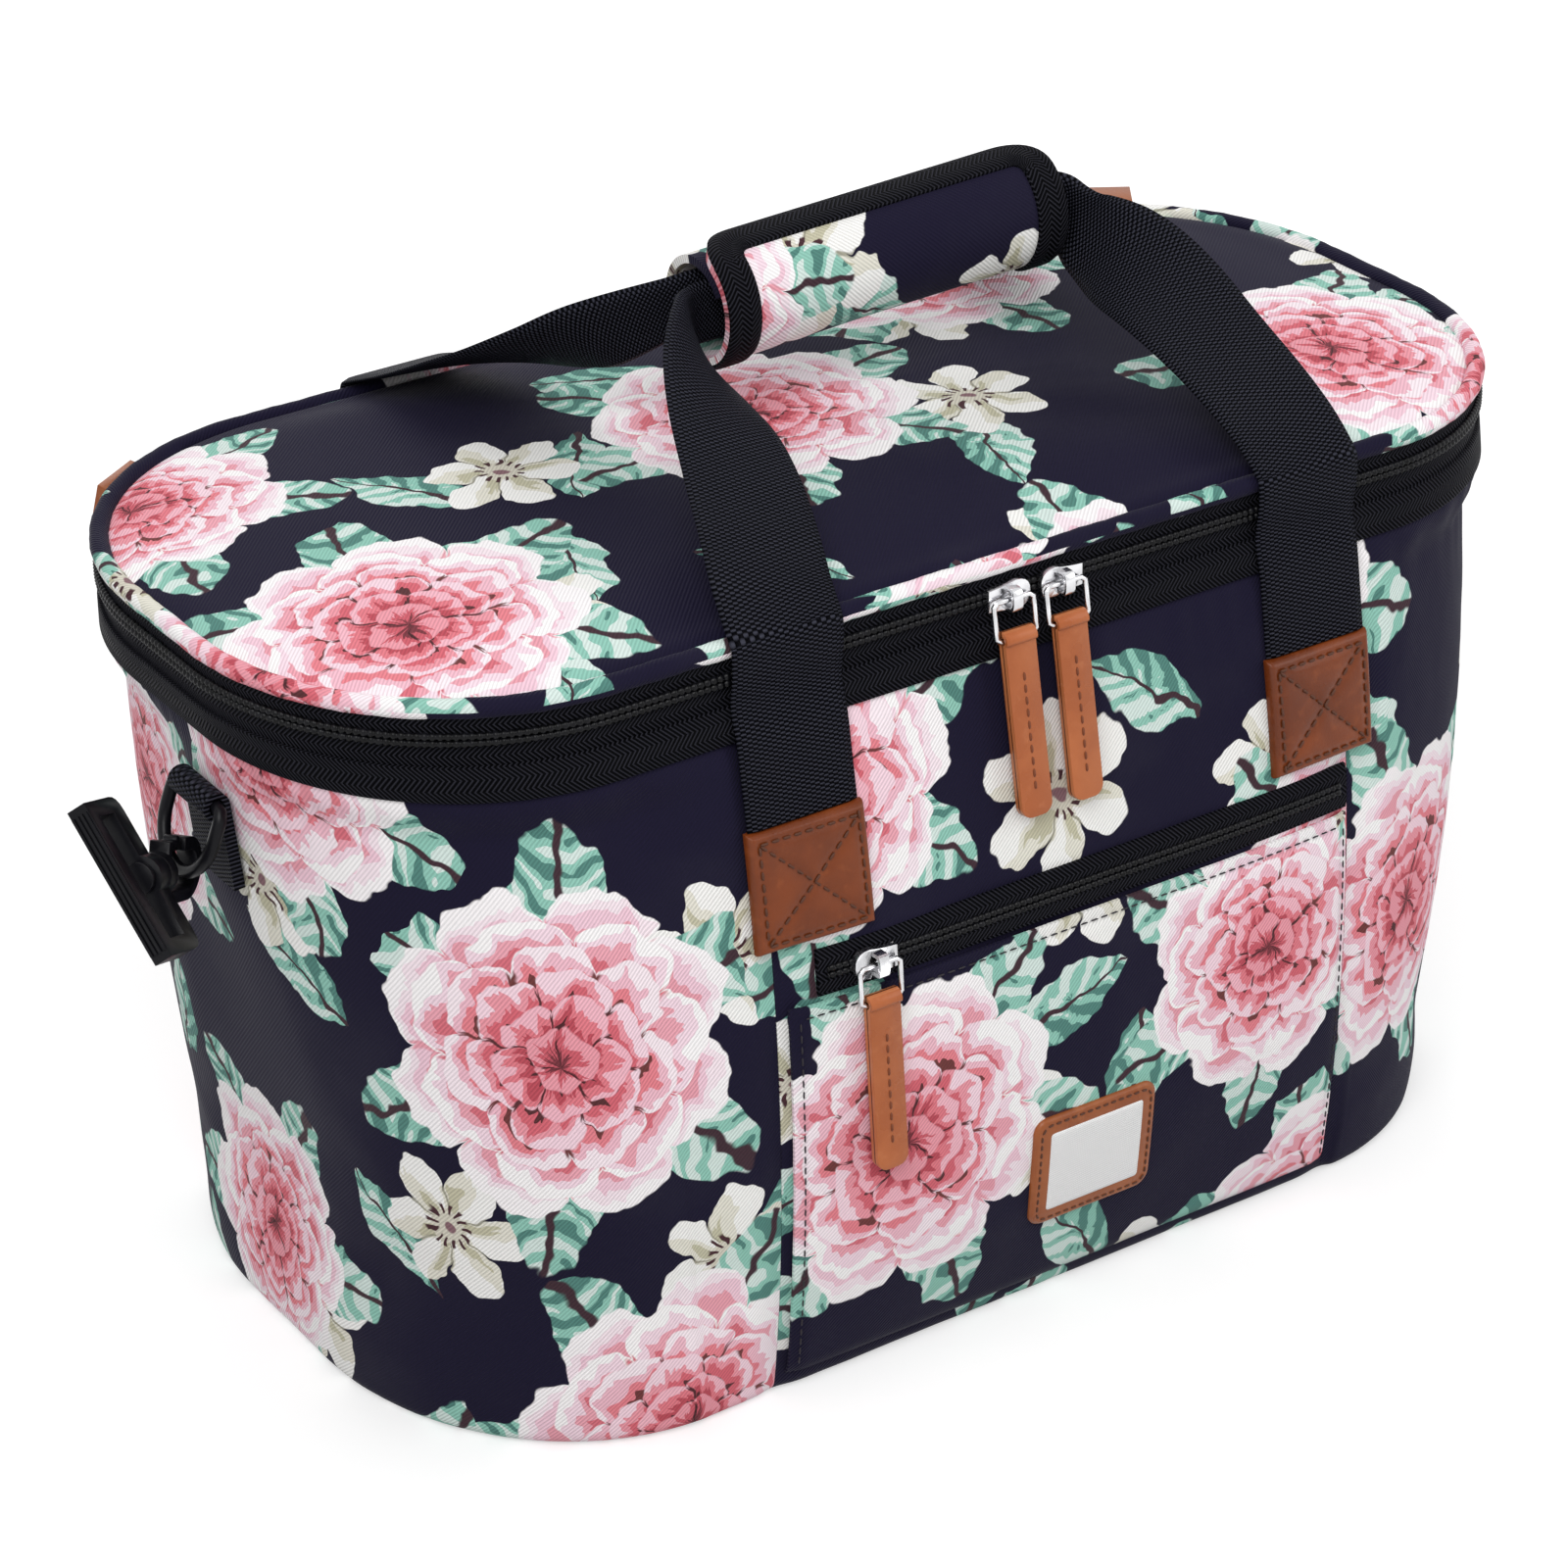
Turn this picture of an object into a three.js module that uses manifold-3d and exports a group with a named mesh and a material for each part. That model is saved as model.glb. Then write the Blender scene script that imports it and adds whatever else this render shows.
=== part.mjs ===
// Insulated tote with a zipped, hinged lid, webbing handles and snap hooks.
// Millimetres, +Z up, X along the bag, front towards -Y, origin under the middle of the base.
import * as THREE from 'three';
import { mergeVertices } from 'three/addons/utils/BufferGeometryUtils.js';
import Module from 'manifold-3d';

const wasm = await Module();
wasm.setup();

// Outer form of the bag
const topLength = 450;
const topDepth = 222;
const baseLength = 406;
const baseDepth = 238;
const topCornerLength = 84;
const topCornerDepth = 92;
const baseCornerLength = 82;
const baseCornerDepth = 96;
const bellySwell = 14;
const zipHeight = 246;

// Layers of the wall
const clearance = 0.3;
const cloth = 1.2;
const foam = 7;
const liner = 0.8;
const baseBoard = 2.5;
const baseFoam = 6;

// Heights of the sewn edges
const bandDrop = 8.5;
const bandTop = zipHeight - bandDrop;
const bandHeight = 10.5;
const bandBottom = bandTop - bandHeight;
const bandProud = 0.6;
const bandThickness = 1.5;

// The sewn front and the handles sit a little right of the bag's middle
const frontShift = 11;
const seamReach = 108;

// Zip chains
const tapeThickness = 0.8;
const coilProud = 0.9;
const coilHeight = 2.5;
const zipEndInset = 38;
const zipEndX = topLength / 2 - zipEndInset;
const chainGap = 0.3;

// Lid
const pipingRadius = 3;
const pipingInset = 1.2;
const pipingRise = 9.2;
const pipingHeight = zipHeight + pipingRise;
const domeRise = 12;
const lidFoam = 7;
const endTabWidth = 20;
const endTabLength = 16;
const endTabLayer = 1.6;
const endTabDroop = { left: 75, right: 0 };

// Handles
const strapSpacing = 190;
const strapWidth = 38;
const strapThickness = 2.2;
const patchWidth = 40;
const patchTall = 38;
const patchDrop = 27;
const patchTop = bandBottom - patchDrop;
const patchBottom = patchTop - patchTall;
const foldedStrapWidth = 20;
const foldedStrapThickness = 4.4;
const foldedStrapY = 5;
const gripX = 22.5;
const gripRise = 54.3;
const gripHeight = pipingHeight + gripRise;
const gripSlope = 0.04;
const gripLength = 125;
const gripHold = 20;
const gripLead = 6;
const gripBore = 13;
const gripSheet = 3.2;
const gripStartAngle = 150;
const gripEndAngle = -280;
const bindingWidth = 11;
const bindingThickness = 1;
const bindingLowAngle = -110;

// Front pocket
const pocketBottom = 8;
const pocketMargin = 3;
const pocketZipDrop = 12;
const pocketZipHeight = patchBottom - pocketZipDrop;
const pocketHem = 9;
const pocketTop = pocketZipHeight - pocketHem;
const pocketTapeWidth = 15;
const pocketZipLeft = -84;
const pocketZipRight = 116;
const pocketSliderX = -66;

// Label on the pocket
const labelX = 14;
const labelHeight = 54;
const labelWidth = 46.5;
const labelTall = 40.5;
const labelBorder = 6.5;
const leather = 1.8;

// Zip sliders and their pulls
const sliderLeftX = -6;
const sliderRightX = 13;
const sliderLength = 15;
const sliderWidth = 9.5;
const sliderPlate = 2.2;
const sliderWall = 1.4;
const archReach = 4.6;
const archWidth = 3.4;
const archBar = 1.3;
const ringWire = 0.9;
const ringCorner = 1.2;
const ringTall = 12;
const ringPlay = 0.45;
const pullWidth = 11;
const pullLength = 56;
const pullThickness = 3.4;
const pullTilt = 10;
const pocketPullTilt = 4;

// Side tabs, rings and snap hooks
const tabAside = 20;
const tabSink = 18;
const tabHeight = bandBottom - tabSink;
const tabWidth = 23;
const tabDrop = 29;
const tabWebbing = 1.8;
const dRingWire = 2.1;
const dRingCorner = 3;
const dRingLeg = 6;
const dRingTilt = 27;
const hookThickness = 6.4;
const clawRadius = 5.6;
const clawWall = 3.8;
const clawLength = 16;
const clawTip = 4.4;
const wireSeat = 1.3;
const shoulder = 2.4;
const gateThickness = 3;
const gateThumb = 1.4;
const collarRadius = 6.5;
const collarLength = 5;
const studRadius = 3;
const studHeadRadius = 4.8;
const studHead = 2;
const runningGap = 0.4;
const frameBar = 6;
const frameHeight = 7;
const frameSlot = 10;
const frameSide = 5;
const frameStrap = 40;
const ribCount = 4;
const ribDepth = 0.9;
const hookTurn = { left: 40, right: -20 };
const hookRise = { left: 22, right: -67 };
const frameTurn = { left: 127, right: 0 };

const model = new THREE.Group();
const radians = THREE.MathUtils.degToRad;
const lerp = THREE.MathUtils.lerp;

// Finishes
const finishes = {
  print: { color: 0x2b2a3d, roughness: 0.8, metalness: 0 },
  webbing: { color: 0x141418, roughness: 0.85, metalness: 0 },
  foam: { color: 0xdcdcd6, roughness: 0.95, metalness: 0 },
  liner: { color: 0xb9bcc0, roughness: 0.4, metalness: 0 },
  board: { color: 0x3a3a3c, roughness: 0.7, metalness: 0 },
  tan: { color: 0xc07845, roughness: 0.6, metalness: 0 },
  brown: { color: 0x8a4a26, roughness: 0.6, metalness: 0 },
  woven: { color: 0xececec, roughness: 0.8, metalness: 0 },
  chrome: { color: 0xd0d0d4, roughness: 0.2, metalness: 1 },
  plastic: { color: 0x17171b, roughness: 0.45, metalness: 0 },
};

function addPart(name, finish, geometry, parent = model) {
  const mesh = new THREE.Mesh(geometry, new THREE.MeshStandardMaterial(finishes[finish]));
  mesh.name = name;
  parent.add(mesh);
  return mesh;
}

// A solid's faces are turned outwards by the sign of its volume
function meshFrom(points, faces) {
  let volume = 0;
  const a = new THREE.Vector3();
  const b = new THREE.Vector3();
  const c = new THREE.Vector3();
  for (let k = 0; k < faces.length; k += 3) {
    a.fromArray(points, 3 * faces[k]);
    b.fromArray(points, 3 * faces[k + 1]);
    c.fromArray(points, 3 * faces[k + 2]);
    volume += a.dot(b.cross(c));
  }
  const ordered = volume < 0 ? faces.toReversed() : faces;
  const geometry = new THREE.BufferGeometry();
  geometry.setAttribute('position', new THREE.Float32BufferAttribute(points, 3));
  geometry.setIndex(ordered);
  return geometry;
}

// A thick sheet: pointAt(u, v, side) gives both faces
function sheetSolid(columns, rows, pointAt) {
  const across = columns + 1;
  const points = [];
  for (let side = 0; side < 2; side++) {
    for (let j = 0; j <= rows; j++) {
      for (let i = 0; i < across; i++) points.push(...pointAt(i / columns, j / rows, side));
    }
  }
  const id = (i, j, side) => (side * (rows + 1) + j) * across + i;
  const faces = [];
  const quad = (a, b, c, d) => faces.push(a, b, c, a, c, d);
  for (let i = 0; i < columns; i++) {
    for (let j = 0; j < rows; j++) {
      quad(id(i, j, 0), id(i + 1, j, 0), id(i + 1, j + 1, 0), id(i, j + 1, 0));
      quad(id(i, j, 1), id(i, j + 1, 1), id(i + 1, j + 1, 1), id(i + 1, j, 1));
    }
    quad(id(i, 0, 1), id(i + 1, 0, 1), id(i + 1, 0, 0), id(i, 0, 0));
    quad(id(i, rows, 0), id(i + 1, rows, 0), id(i + 1, rows, 1), id(i, rows, 1));
  }
  for (let j = 0; j < rows; j++) {
    quad(id(0, j, 0), id(0, j + 1, 0), id(0, j + 1, 1), id(0, j, 1));
    quad(id(columns, j, 1), id(columns, j + 1, 1), id(columns, j + 1, 0), id(columns, j, 0));
  }
  return meshFrom(points, faces);
}

// Rings of equal count skinned one to the next; ends are capped, or joined to each other
function ringStack(rings, joined = false) {
  const count = rings[0].length;
  const points = rings.flat(2);
  const faces = [];
  const spans = joined ? rings.length : rings.length - 1;
  for (let r = 0; r < spans; r++) {
    const low = r * count;
    const high = ((r + 1) % rings.length) * count;
    for (let i = 0; i < count; i++) {
      const next = (i + 1) % count;
      faces.push(low + i, low + next, high + next, low + i, high + next, high + i);
    }
  }
  if (!joined) {
    for (const [ring, flip] of [[0, true], [rings.length - 1, false]]) {
      const centre = points.length / 3;
      for (let axis = 0; axis < 3; axis++) {
        points.push(rings[ring].reduce((sum, p) => sum + p[axis], 0) / count);
      }
      for (let i = 0; i < count; i++) {
        const here = ring * count + i;
        const next = ring * count + ((i + 1) % count);
        faces.push(centre, flip ? next : here, flip ? here : next);
      }
    }
  }
  return meshFrom(points, faces);
}

// Joins and cuts
function solidOf(geometry) {
  const bare = geometry.clone();
  for (const extra of ['normal', 'uv']) bare.deleteAttribute(extra);
  const merged = mergeVertices(bare, 1e-4);
  return new wasm.Manifold(new wasm.Mesh({
    numProp: 3,
    vertProperties: Float32Array.from(merged.attributes.position.array),
    triVerts: Uint32Array.from(merged.index.array),
  }));
}

function geometryOf(solid) {
  const mesh = solid.getMesh();
  const geometry = new THREE.BufferGeometry();
  geometry.setAttribute('position', new THREE.Float32BufferAttribute(mesh.vertProperties, 3));
  geometry.setIndex(Array.from(mesh.triVerts));
  return geometry;
}

function join(...pieces) {
  return geometryOf(pieces.map(solidOf).reduce((a, b) => a.add(b)));
}

function meet(a, b) {
  return geometryOf(solidOf(a).intersect(solidOf(b)));
}

function cut(piece, ...tools) {
  return geometryOf(tools.map(solidOf).reduce((a, b) => a.subtract(b), solidOf(piece)));
}

// A cylinder along X, Y or Z from its middle
function rod(radius, length, axis, sides = 16) {
  const geometry = new THREE.CylinderGeometry(radius, radius, length, sides);
  if (axis === 'x') geometry.rotateZ(Math.PI / 2);
  if (axis === 'z') geometry.rotateX(Math.PI / 2);
  return geometry;
}

// A wire of round section along a closed flat outline in the XZ plane
function wireLoop(outline, wire, steps, sides = 8) {
  const path = outline.getSpacedPoints(steps).slice(0, steps);
  const rings = path.map((p, i) => {
    const before = path[(i + steps - 1) % steps];
    const after = path[(i + 1) % steps];
    const run = after.clone().sub(before).normalize();
    return Array.from({ length: sides }, (_, k) => {
      const turn = (2 * Math.PI * k) / sides;
      const off = wire * Math.cos(turn);
      return [p.x + run.y * off, wire * Math.sin(turn), p.y - run.x * off];
    });
  });
  return ringStack(rings, true);
}

function roundedOutline(width, tall, radius) {
  const x = width / 2;
  const shape = new THREE.Shape();
  shape.moveTo(-x + radius, 0);
  shape.lineTo(x - radius, 0);
  shape.absarc(x - radius, -radius, radius, Math.PI / 2, 0, true);
  shape.lineTo(x, -tall + radius);
  shape.absarc(x - radius, -tall + radius, radius, 0, -Math.PI / 2, true);
  shape.lineTo(-x + radius, -tall);
  shape.absarc(-x + radius, -tall + radius, radius, -Math.PI / 2, -Math.PI, true);
  shape.lineTo(-x, -radius);
  shape.absarc(-x + radius, -radius, radius, Math.PI, Math.PI / 2, true);
  return shape;
}

// How far the front and back stand out at a height, straight between the wall's levels
const wallSteps = 6;

function swellAt(k) {
  const low = Math.min(Math.floor(k * wallSteps), wallSteps - 1) / wallSteps;
  const high = low + 1 / wallSteps;
  const bow = (at) => bellySwell * 4 * at * (1 - at);
  return lerp(bow(low), bow(high), (k - low) * wallSteps);
}

function levelsBetween(z0, z1) {
  const knots = Array.from({ length: wallSteps }, (_, k) => (bandTop * k) / wallSteps);
  return [z0, ...knots.filter((z) => z > z0 + 1 && z < z1 - 1), z1];
}

// Plan of the bag at a height: a rectangle with elliptical corners, the same from the band's top up
function planAt(z) {
  const k = Math.min(z / bandTop, 1);
  const swell = swellAt(k);
  const halfLength = lerp(baseLength, topLength, k) / 2;
  const halfDepth = lerp(baseDepth, topDepth, k) / 2 + swell;
  const cornerX = lerp(baseCornerLength, topCornerLength, k);
  const cornerY = lerp(baseCornerDepth, topCornerDepth, k);
  return { flat: halfLength - cornerX, end: halfDepth - cornerY, cornerX, cornerY };
}

// A point on the front (face -1) or back (face 1), a distance out of the cloth
function wallPoint(x, z, out, face = -1) {
  const plan = planAt(z);
  const past = Math.max(Math.abs(x) - plan.flat, 0) / (plan.cornerX + out);
  const y = plan.end + (plan.cornerY + out) * Math.sqrt(1 - past * past);
  return [x, face * y, z];
}

// A point round the plan: turn runs 0 to 4 from the front middle through the right end
const flatShare = 0.3;
const cornerShare = 0.6;

function ringPoint(turn, z, inset) {
  const plan = planAt(z);
  const wrapped = ((turn % 4) + 4) % 4;
  const quarter = Math.floor(wrapped);
  const part = wrapped - quarter;
  const e = quarter % 2 ? 1 - part : part;
  const angle = THREE.MathUtils.clamp((e - flatShare) / cornerShare, 0, 1) * Math.PI / 2;
  const past = Math.max(e - flatShare - cornerShare, 0) / (1 - flatShare - cornerShare);
  const x = plan.flat * Math.min(e / flatShare, 1) + (plan.cornerX - inset) * Math.sin(angle);
  const y = plan.end * (1 - past) + (plan.cornerY - inset) * Math.cos(angle);
  return [quarter < 2 ? x : -x, quarter === 1 || quarter === 2 ? y : -y, z];
}

const cornerSteps = 7;
const quarterStops = [0];
for (let k = 0; k <= cornerSteps; k++) quarterStops.push(flatShare + (cornerShare * k) / cornerSteps);
const ringTurns = [];
for (let quarter = 0; quarter < 4; quarter++) {
  const stops = quarter % 2 ? quarterStops.map((e) => 1 - e).reverse() : quarterStops;
  ringTurns.push(...stops.map((e) => quarter + e));
}
ringTurns.push(1, 3);
ringTurns.sort((a, b) => a - b);
const roundTurns = ringTurns.filter((t, i) => i === 0 || t - ringTurns[i - 1] > 1e-6);

// Turn of a point on the back's right corner at a given X
function backTurn(x) {
  const plan = planAt(zipHeight);
  const angle = Math.asin((x - plan.flat) / plan.cornerX);
  return 2 - flatShare - (cornerShare * angle) / (Math.PI / 2);
}

// A profile of [inset, height] points carried round the plan
function sweepRound(profile, turns, joined) {
  return ringStack(turns.map((t) => profile.map(([inset, z]) => ringPoint(t, z, inset))), joined);
}

function turnsBetween(first, last) {
  const laps = [-4, 0, 4].flatMap((lap) => roundTurns.map((t) => t + lap));
  return [first, ...laps.filter((t) => t > first + 0.01 && t < last - 0.01), last];
}

// A flat sewn piece that follows the front or the back wall
function wallSheet([x0, x1], [z0, z1], [out0, out1], face = -1) {
  const levels = levelsBetween(z0, z1);
  const rows = levels.length - 1;
  const at = (u, v, side) => {
    const z = levels[Math.round(v * rows)];
    return wallPoint(lerp(x0, x1, u), z, side ? out0 : out1, face);
  };
  return sheetSolid(1, rows, at);
}

// A piece that wraps one end from the front seam to the back seam
function endSheet(side, [z0, z1], [out0, out1], seamX) {
  const levels = levelsBetween(z0, z1);
  const rows = levels.length - 1;
  const bend = [0, 1].flatMap((back) => Array.from({ length: cornerSteps + 1 }, (_, k) => {
    const e = flatShare + (cornerShare * k) / cornerSteps;
    return back ? 2 - e : e;
  })).sort((a, b) => a - b);
  const columns = bend.length + 1;
  const at = (u, v, inner) => {
    const z = levels[Math.round(v * rows)];
    const out = inner ? out0 : out1;
    const i = Math.round(u * columns);
    if (i === 0) return wallPoint(seamX, z, out, -1);
    if (i === columns) return wallPoint(seamX, z, out, 1);
    const [x, y] = ringPoint(bend[i - 1], z, -out);
    return [side * x, y, z];
  };
  return sheetSolid(columns, rows, at);
}

const seamLeft = frontShift - seamReach;
const seamRight = frontShift + seamReach;
const foamInset = cloth + clearance;
const linerInset = foamInset + foam + clearance;
const wallBottom = cloth + clearance;

function planRing(z, inset) {
  return roundTurns.map((t) => ringPoint(t, z, inset));
}

function addBase() {
  const boardTop = wallBottom + baseBoard;
  const foamBottom = boardTop + clearance;
  addPart('base_panel', 'print', ringStack([planRing(0, 0), planRing(cloth, 0)]));
  addPart('base_board', 'board', ringStack([planRing(wallBottom, linerInset),
    planRing(boardTop, linerInset)]));
  addPart('base_foam', 'foam', ringStack([planRing(foamBottom, linerInset),
    planRing(foamBottom + baseFoam, linerInset)]));
  return foamBottom + baseFoam + clearance;
}

function addWalls(floor) {
  const inside = [-foamInset - foam, -foamInset];
  const skin = [-cloth, 0];
  const skinTop = bandBottom - clearance;
  const seam = clearance / 2;
  const across = [seamLeft + seam, seamRight - seam];
  for (const [name, face] of [['front', -1], ['back', 1]]) {
    addPart(`${name}_foam`, 'foam', wallSheet(across, [wallBottom, bandTop], inside, face));
    addPart(`${name}_panel`, 'print', wallSheet(across, [wallBottom, skinTop], skin, face));
  }
  for (const [name, side, x] of [['left', -1, seamLeft - seam], ['right', 1, seamRight + seam]]) {
    addPart(`${name}_end_foam`, 'foam', endSheet(side, [wallBottom, bandTop], inside, x));
    addPart(`${name}_end_panel`, 'print', endSheet(side, [wallBottom, skinTop], skin, x));
  }
  const outer = levelsBetween(floor, bandTop).map((z) => planRing(z, linerInset));
  const innerLevels = levelsBetween(floor + liner, bandTop).toReversed();
  const inner = innerLevels.map((z) => planRing(z, linerInset + liner));
  addPart('liner_tub', 'liner', ringStack([...outer, ...inner]));
}

// A tape with the half chain along one edge; up is 1 where the chain is on top
function chainProfile(tapeEnd, chainEnd, up, back) {
  const root = chainEnd - up * coilHeight;
  const face = back - tapeThickness;
  const inside = back + coilProud;
  return [[face, tapeEnd], [face, root], [-coilProud, root], [-coilProud, chainEnd],
    [inside, chainEnd], [inside, root], [back, root], [back, tapeEnd]];
}

const tapeBack = 1.1;
const zipEndTurn = backTurn(zipEndX);
const tapeTurns = turnsBetween(-zipEndTurn, zipEndTurn);
const tapeSpare = 0.004;

function addRim() {
  const band = [[-bandProud, bandBottom], [-bandProud, bandTop],
    [bandThickness - bandProud, bandTop], [bandThickness - bandProud, bandBottom]];
  addPart('trim_band', 'webbing', sweepRound(band, roundTurns, true));
  const tapeStart = bandTop + clearance;
  const chainEnd = zipHeight - chainGap / 2;
  const tape = chainProfile(tapeStart, chainEnd, 1, tapeBack);
  addPart('body_zip_tape', 'webbing', sweepRound(tape, tapeTurns, false));
  const strip = [[-clearance, tapeStart], [-clearance, chainEnd],
    [tapeBack, chainEnd], [tapeBack, tapeStart]];
  const stripTurns = turnsBetween(zipEndTurn + tapeSpare, 4 - zipEndTurn - tapeSpare);
  addPart('hinge_strip', 'webbing', sweepRound(strip, stripTurns, false));
}

// Height of the lid's outside, from its edge (r = 1) to its middle (r = 0)
const lidEdgeInset = pipingInset + pipingRadius + clearance;

function lidRing(r, drop) {
  const z = pipingHeight + domeRise * (1 - r ** 4) - drop;
  return roundTurns.map((t) => {
    const [x, y] = ringPoint(t, zipHeight, lidEdgeInset);
    return [x * r, y * r, z];
  });
}

function domedSheet(dropTop, thickness) {
  const steps = [1, 0.93, 0.78, 0.45];
  const under = steps.toReversed().map((r) => lidRing(r, dropTop + thickness));
  const over = steps.map((r) => lidRing(r, dropTop));
  return ringStack([...under, ...over]);
}

function addLid() {
  const circle = Array.from({ length: 8 }, (_, k) => {
    const turn = (2 * Math.PI * (k + 0.5)) / 8;
    return [pipingInset + pipingRadius * Math.cos(turn), pipingHeight + pipingRadius * Math.sin(turn)];
  });
  addPart('lid_piping', 'print', sweepRound(circle, roundTurns, true));
  addPart('lid_panel', 'print', domedSheet(0, cloth));
  const foamDrop = cloth + clearance;
  addPart('lid_foam', 'foam', domedSheet(foamDrop, lidFoam));
  addPart('lid_liner', 'liner', domedSheet(foamDrop + lidFoam + clearance, liner));
  const tapeTop = pipingHeight - pipingRadius * Math.cos(Math.PI / 8) - clearance;
  const chainStart = zipHeight + chainGap / 2;
  const tape = chainProfile(tapeTop, chainStart, -1, tapeBack);
  addPart('lid_zip_tape', 'webbing', sweepRound(tape, tapeTurns, false));
  addEndTab('left', -1);
  addEndTab('right', 1);
}

// Two leather layers that cover the end of the chain; one stands out behind the piping, one droops
function addEndTab(hand, side) {
  const outline = new THREE.Shape();
  const thick = 2 * endTabLayer;
  outline.moveTo(0, 0);
  outline.lineTo(endTabLength, 0);
  outline.lineTo(endTabLength, endTabLayer - clearance / 2);
  outline.lineTo(endTabLength / 3, endTabLayer - clearance / 2);
  outline.lineTo(endTabLength / 3, endTabLayer + clearance / 2);
  outline.lineTo(endTabLength, endTabLayer + clearance / 2);
  outline.lineTo(endTabLength, thick);
  outline.lineTo(0, thick);
  const tab = new THREE.ExtrudeGeometry(outline, { depth: endTabWidth, bevelEnabled: false });
  tab.translate(0, -thick / 2, -endTabWidth / 2);
  tab.rotateX(Math.PI / 2);
  tab.rotateY(radians(endTabDroop[hand]));
  const seatOut = pipingRadius + clearance + endTabLayer * Math.sin(radians(endTabDroop[hand]));
  const [x, y] = ringPoint(zipEndTurn, zipHeight, pipingInset - seatOut);
  const [inX, inY] = ringPoint(zipEndTurn, zipHeight, pipingInset);
  const seat = new THREE.Group();
  seat.position.set(side * x, y, pipingHeight);
  seat.rotation.z = Math.atan2(y - inY, side * (x - inX));
  model.add(seat);
  addPart(`zip_end_tab_${hand}`, 'tan', tab, seat);
}

// The pocket on the lower front with its zip above it, and the blank label
function addPocket() {
  const lift = clearance;
  const across = [seamLeft + pocketMargin, seamRight - pocketMargin];
  addPart('pocket_panel', 'print', wallSheet(across, [pocketBottom, pocketTop], [lift, lift + cloth]));
  const low = pocketZipHeight - pocketTapeWidth / 2;
  const high = pocketZipHeight + pocketTapeWidth / 2;
  const tape = wallSheet([pocketZipLeft, pocketZipRight], [low, high], [lift, lift + tapeThickness]);
  const chainZ = [pocketZipHeight - coilHeight / 2, pocketZipHeight + coilHeight / 2];
  const chainX = [pocketZipLeft + pocketMargin, pocketZipRight - pocketMargin];
  const chain = wallSheet(chainX, chainZ, [lift + tapeThickness / 2, lift + tapeThickness + coilProud]);
  addPart('pocket_zip_tape', 'webbing', join(tape, chain));
  const seat = lift + cloth + clearance;
  const box = (inset) => [
    [labelX - labelWidth / 2 + inset, labelX + labelWidth / 2 - inset],
    [labelHeight - labelTall / 2 + inset, labelHeight + labelTall / 2 - inset],
  ];
  const whole = wallSheet(...box(0), [seat, seat + leather]);
  const window = wallSheet(...box(labelBorder), [seat + leather / 2, seat + 2 * leather]);
  addPart('label_patch', 'brown', cut(whole, window));
  const insertSeat = seat + leather / 2 + clearance;
  const insertBox = box(labelBorder + clearance);
  addPart('label_insert', 'woven', wallSheet(...insertBox, [insertSeat, seat + leather]));
}

const strapFeet = { left: frontShift - strapSpacing / 2, right: frontShift + strapSpacing / 2 };
const strapSeat = clearance + strapThickness;

function addStrapEnds() {
  for (const [where, face] of [['front', -1], ['back', 1]]) {
    for (const [hand, x] of Object.entries(strapFeet)) {
      const end = [x - strapWidth / 2, x + strapWidth / 2];
      const foot = patchBottom + (patchWidth - strapWidth) / 2;
      const low = [foot, patchTop - clearance];
      addPart(`strap_end_${where}_${hand}`, 'webbing', wallSheet(end, low, [clearance, strapSeat], face));
      const cover = [x - patchWidth / 2, x + patchWidth / 2];
      const over = strapSeat + clearance;
      addPart(`strap_patch_${where}_${hand}`, 'brown',
        wallSheet(cover, [patchBottom, patchTop], [over, over + leather], face));
    }
  }
}

// The free run of each handle from the piping to the grip: the share of the way along to the grip's
// end, the share of the bag's half depth that is left, the share of the climb from the piping to the
// grip, the ribbon's edge direction and the fold
const pipingWrap = { front: [0, 22, 42], back: [0, 45, 80] };
const freeRuns = {
  front: [
    { along: 0.05, reach: 0.937, climb: 0.217, edge: [-1, 0, 0.03], fold: 0 },
    { along: 0.17, reach: 0.82, climb: 0.383, edge: [-1, 0, 0.08], fold: 0 },
    { along: 0.34, reach: 0.649, climb: 0.576, edge: [-0.98, 0.08, 0.2], fold: 0 },
    { along: 0.5, reach: 0.468, climb: 0.751, edge: [-0.9, 0.12, 0.42], fold: 0.03 },
    { along: 0.65, reach: 0.306, climb: 0.862, edge: [-0.7, 0.18, 0.7], fold: 0.2 },
    { along: 0.82, reach: 0.153, climb: 0.936, edge: [-0.35, 0.1, 0.93], fold: 0.62 },
  ],
  back: [
    { along: 0, reach: 0.802, climb: 0.243, edge: [-1, 0, 0.05], fold: 0 },
    { along: 0.03, reach: 0.595, climb: 0.411, edge: [-0.97, -0.06, 0.2], fold: 0 },
    { along: 0.12, reach: 0.387, climb: 0.576, edge: [-0.9, -0.12, 0.4], fold: 0.03 },
    { along: 0.28, reach: 0.243, climb: 0.705, edge: [-0.7, -0.2, 0.65], fold: 0.2 },
    { along: 0.55, reach: 0.117, climb: 0.843, edge: [-0.35, -0.1, 0.93], fold: 0.62 },
  ],
};

function gripLine(x) {
  return gripHeight + gripSlope * (x - gripX);
}

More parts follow.
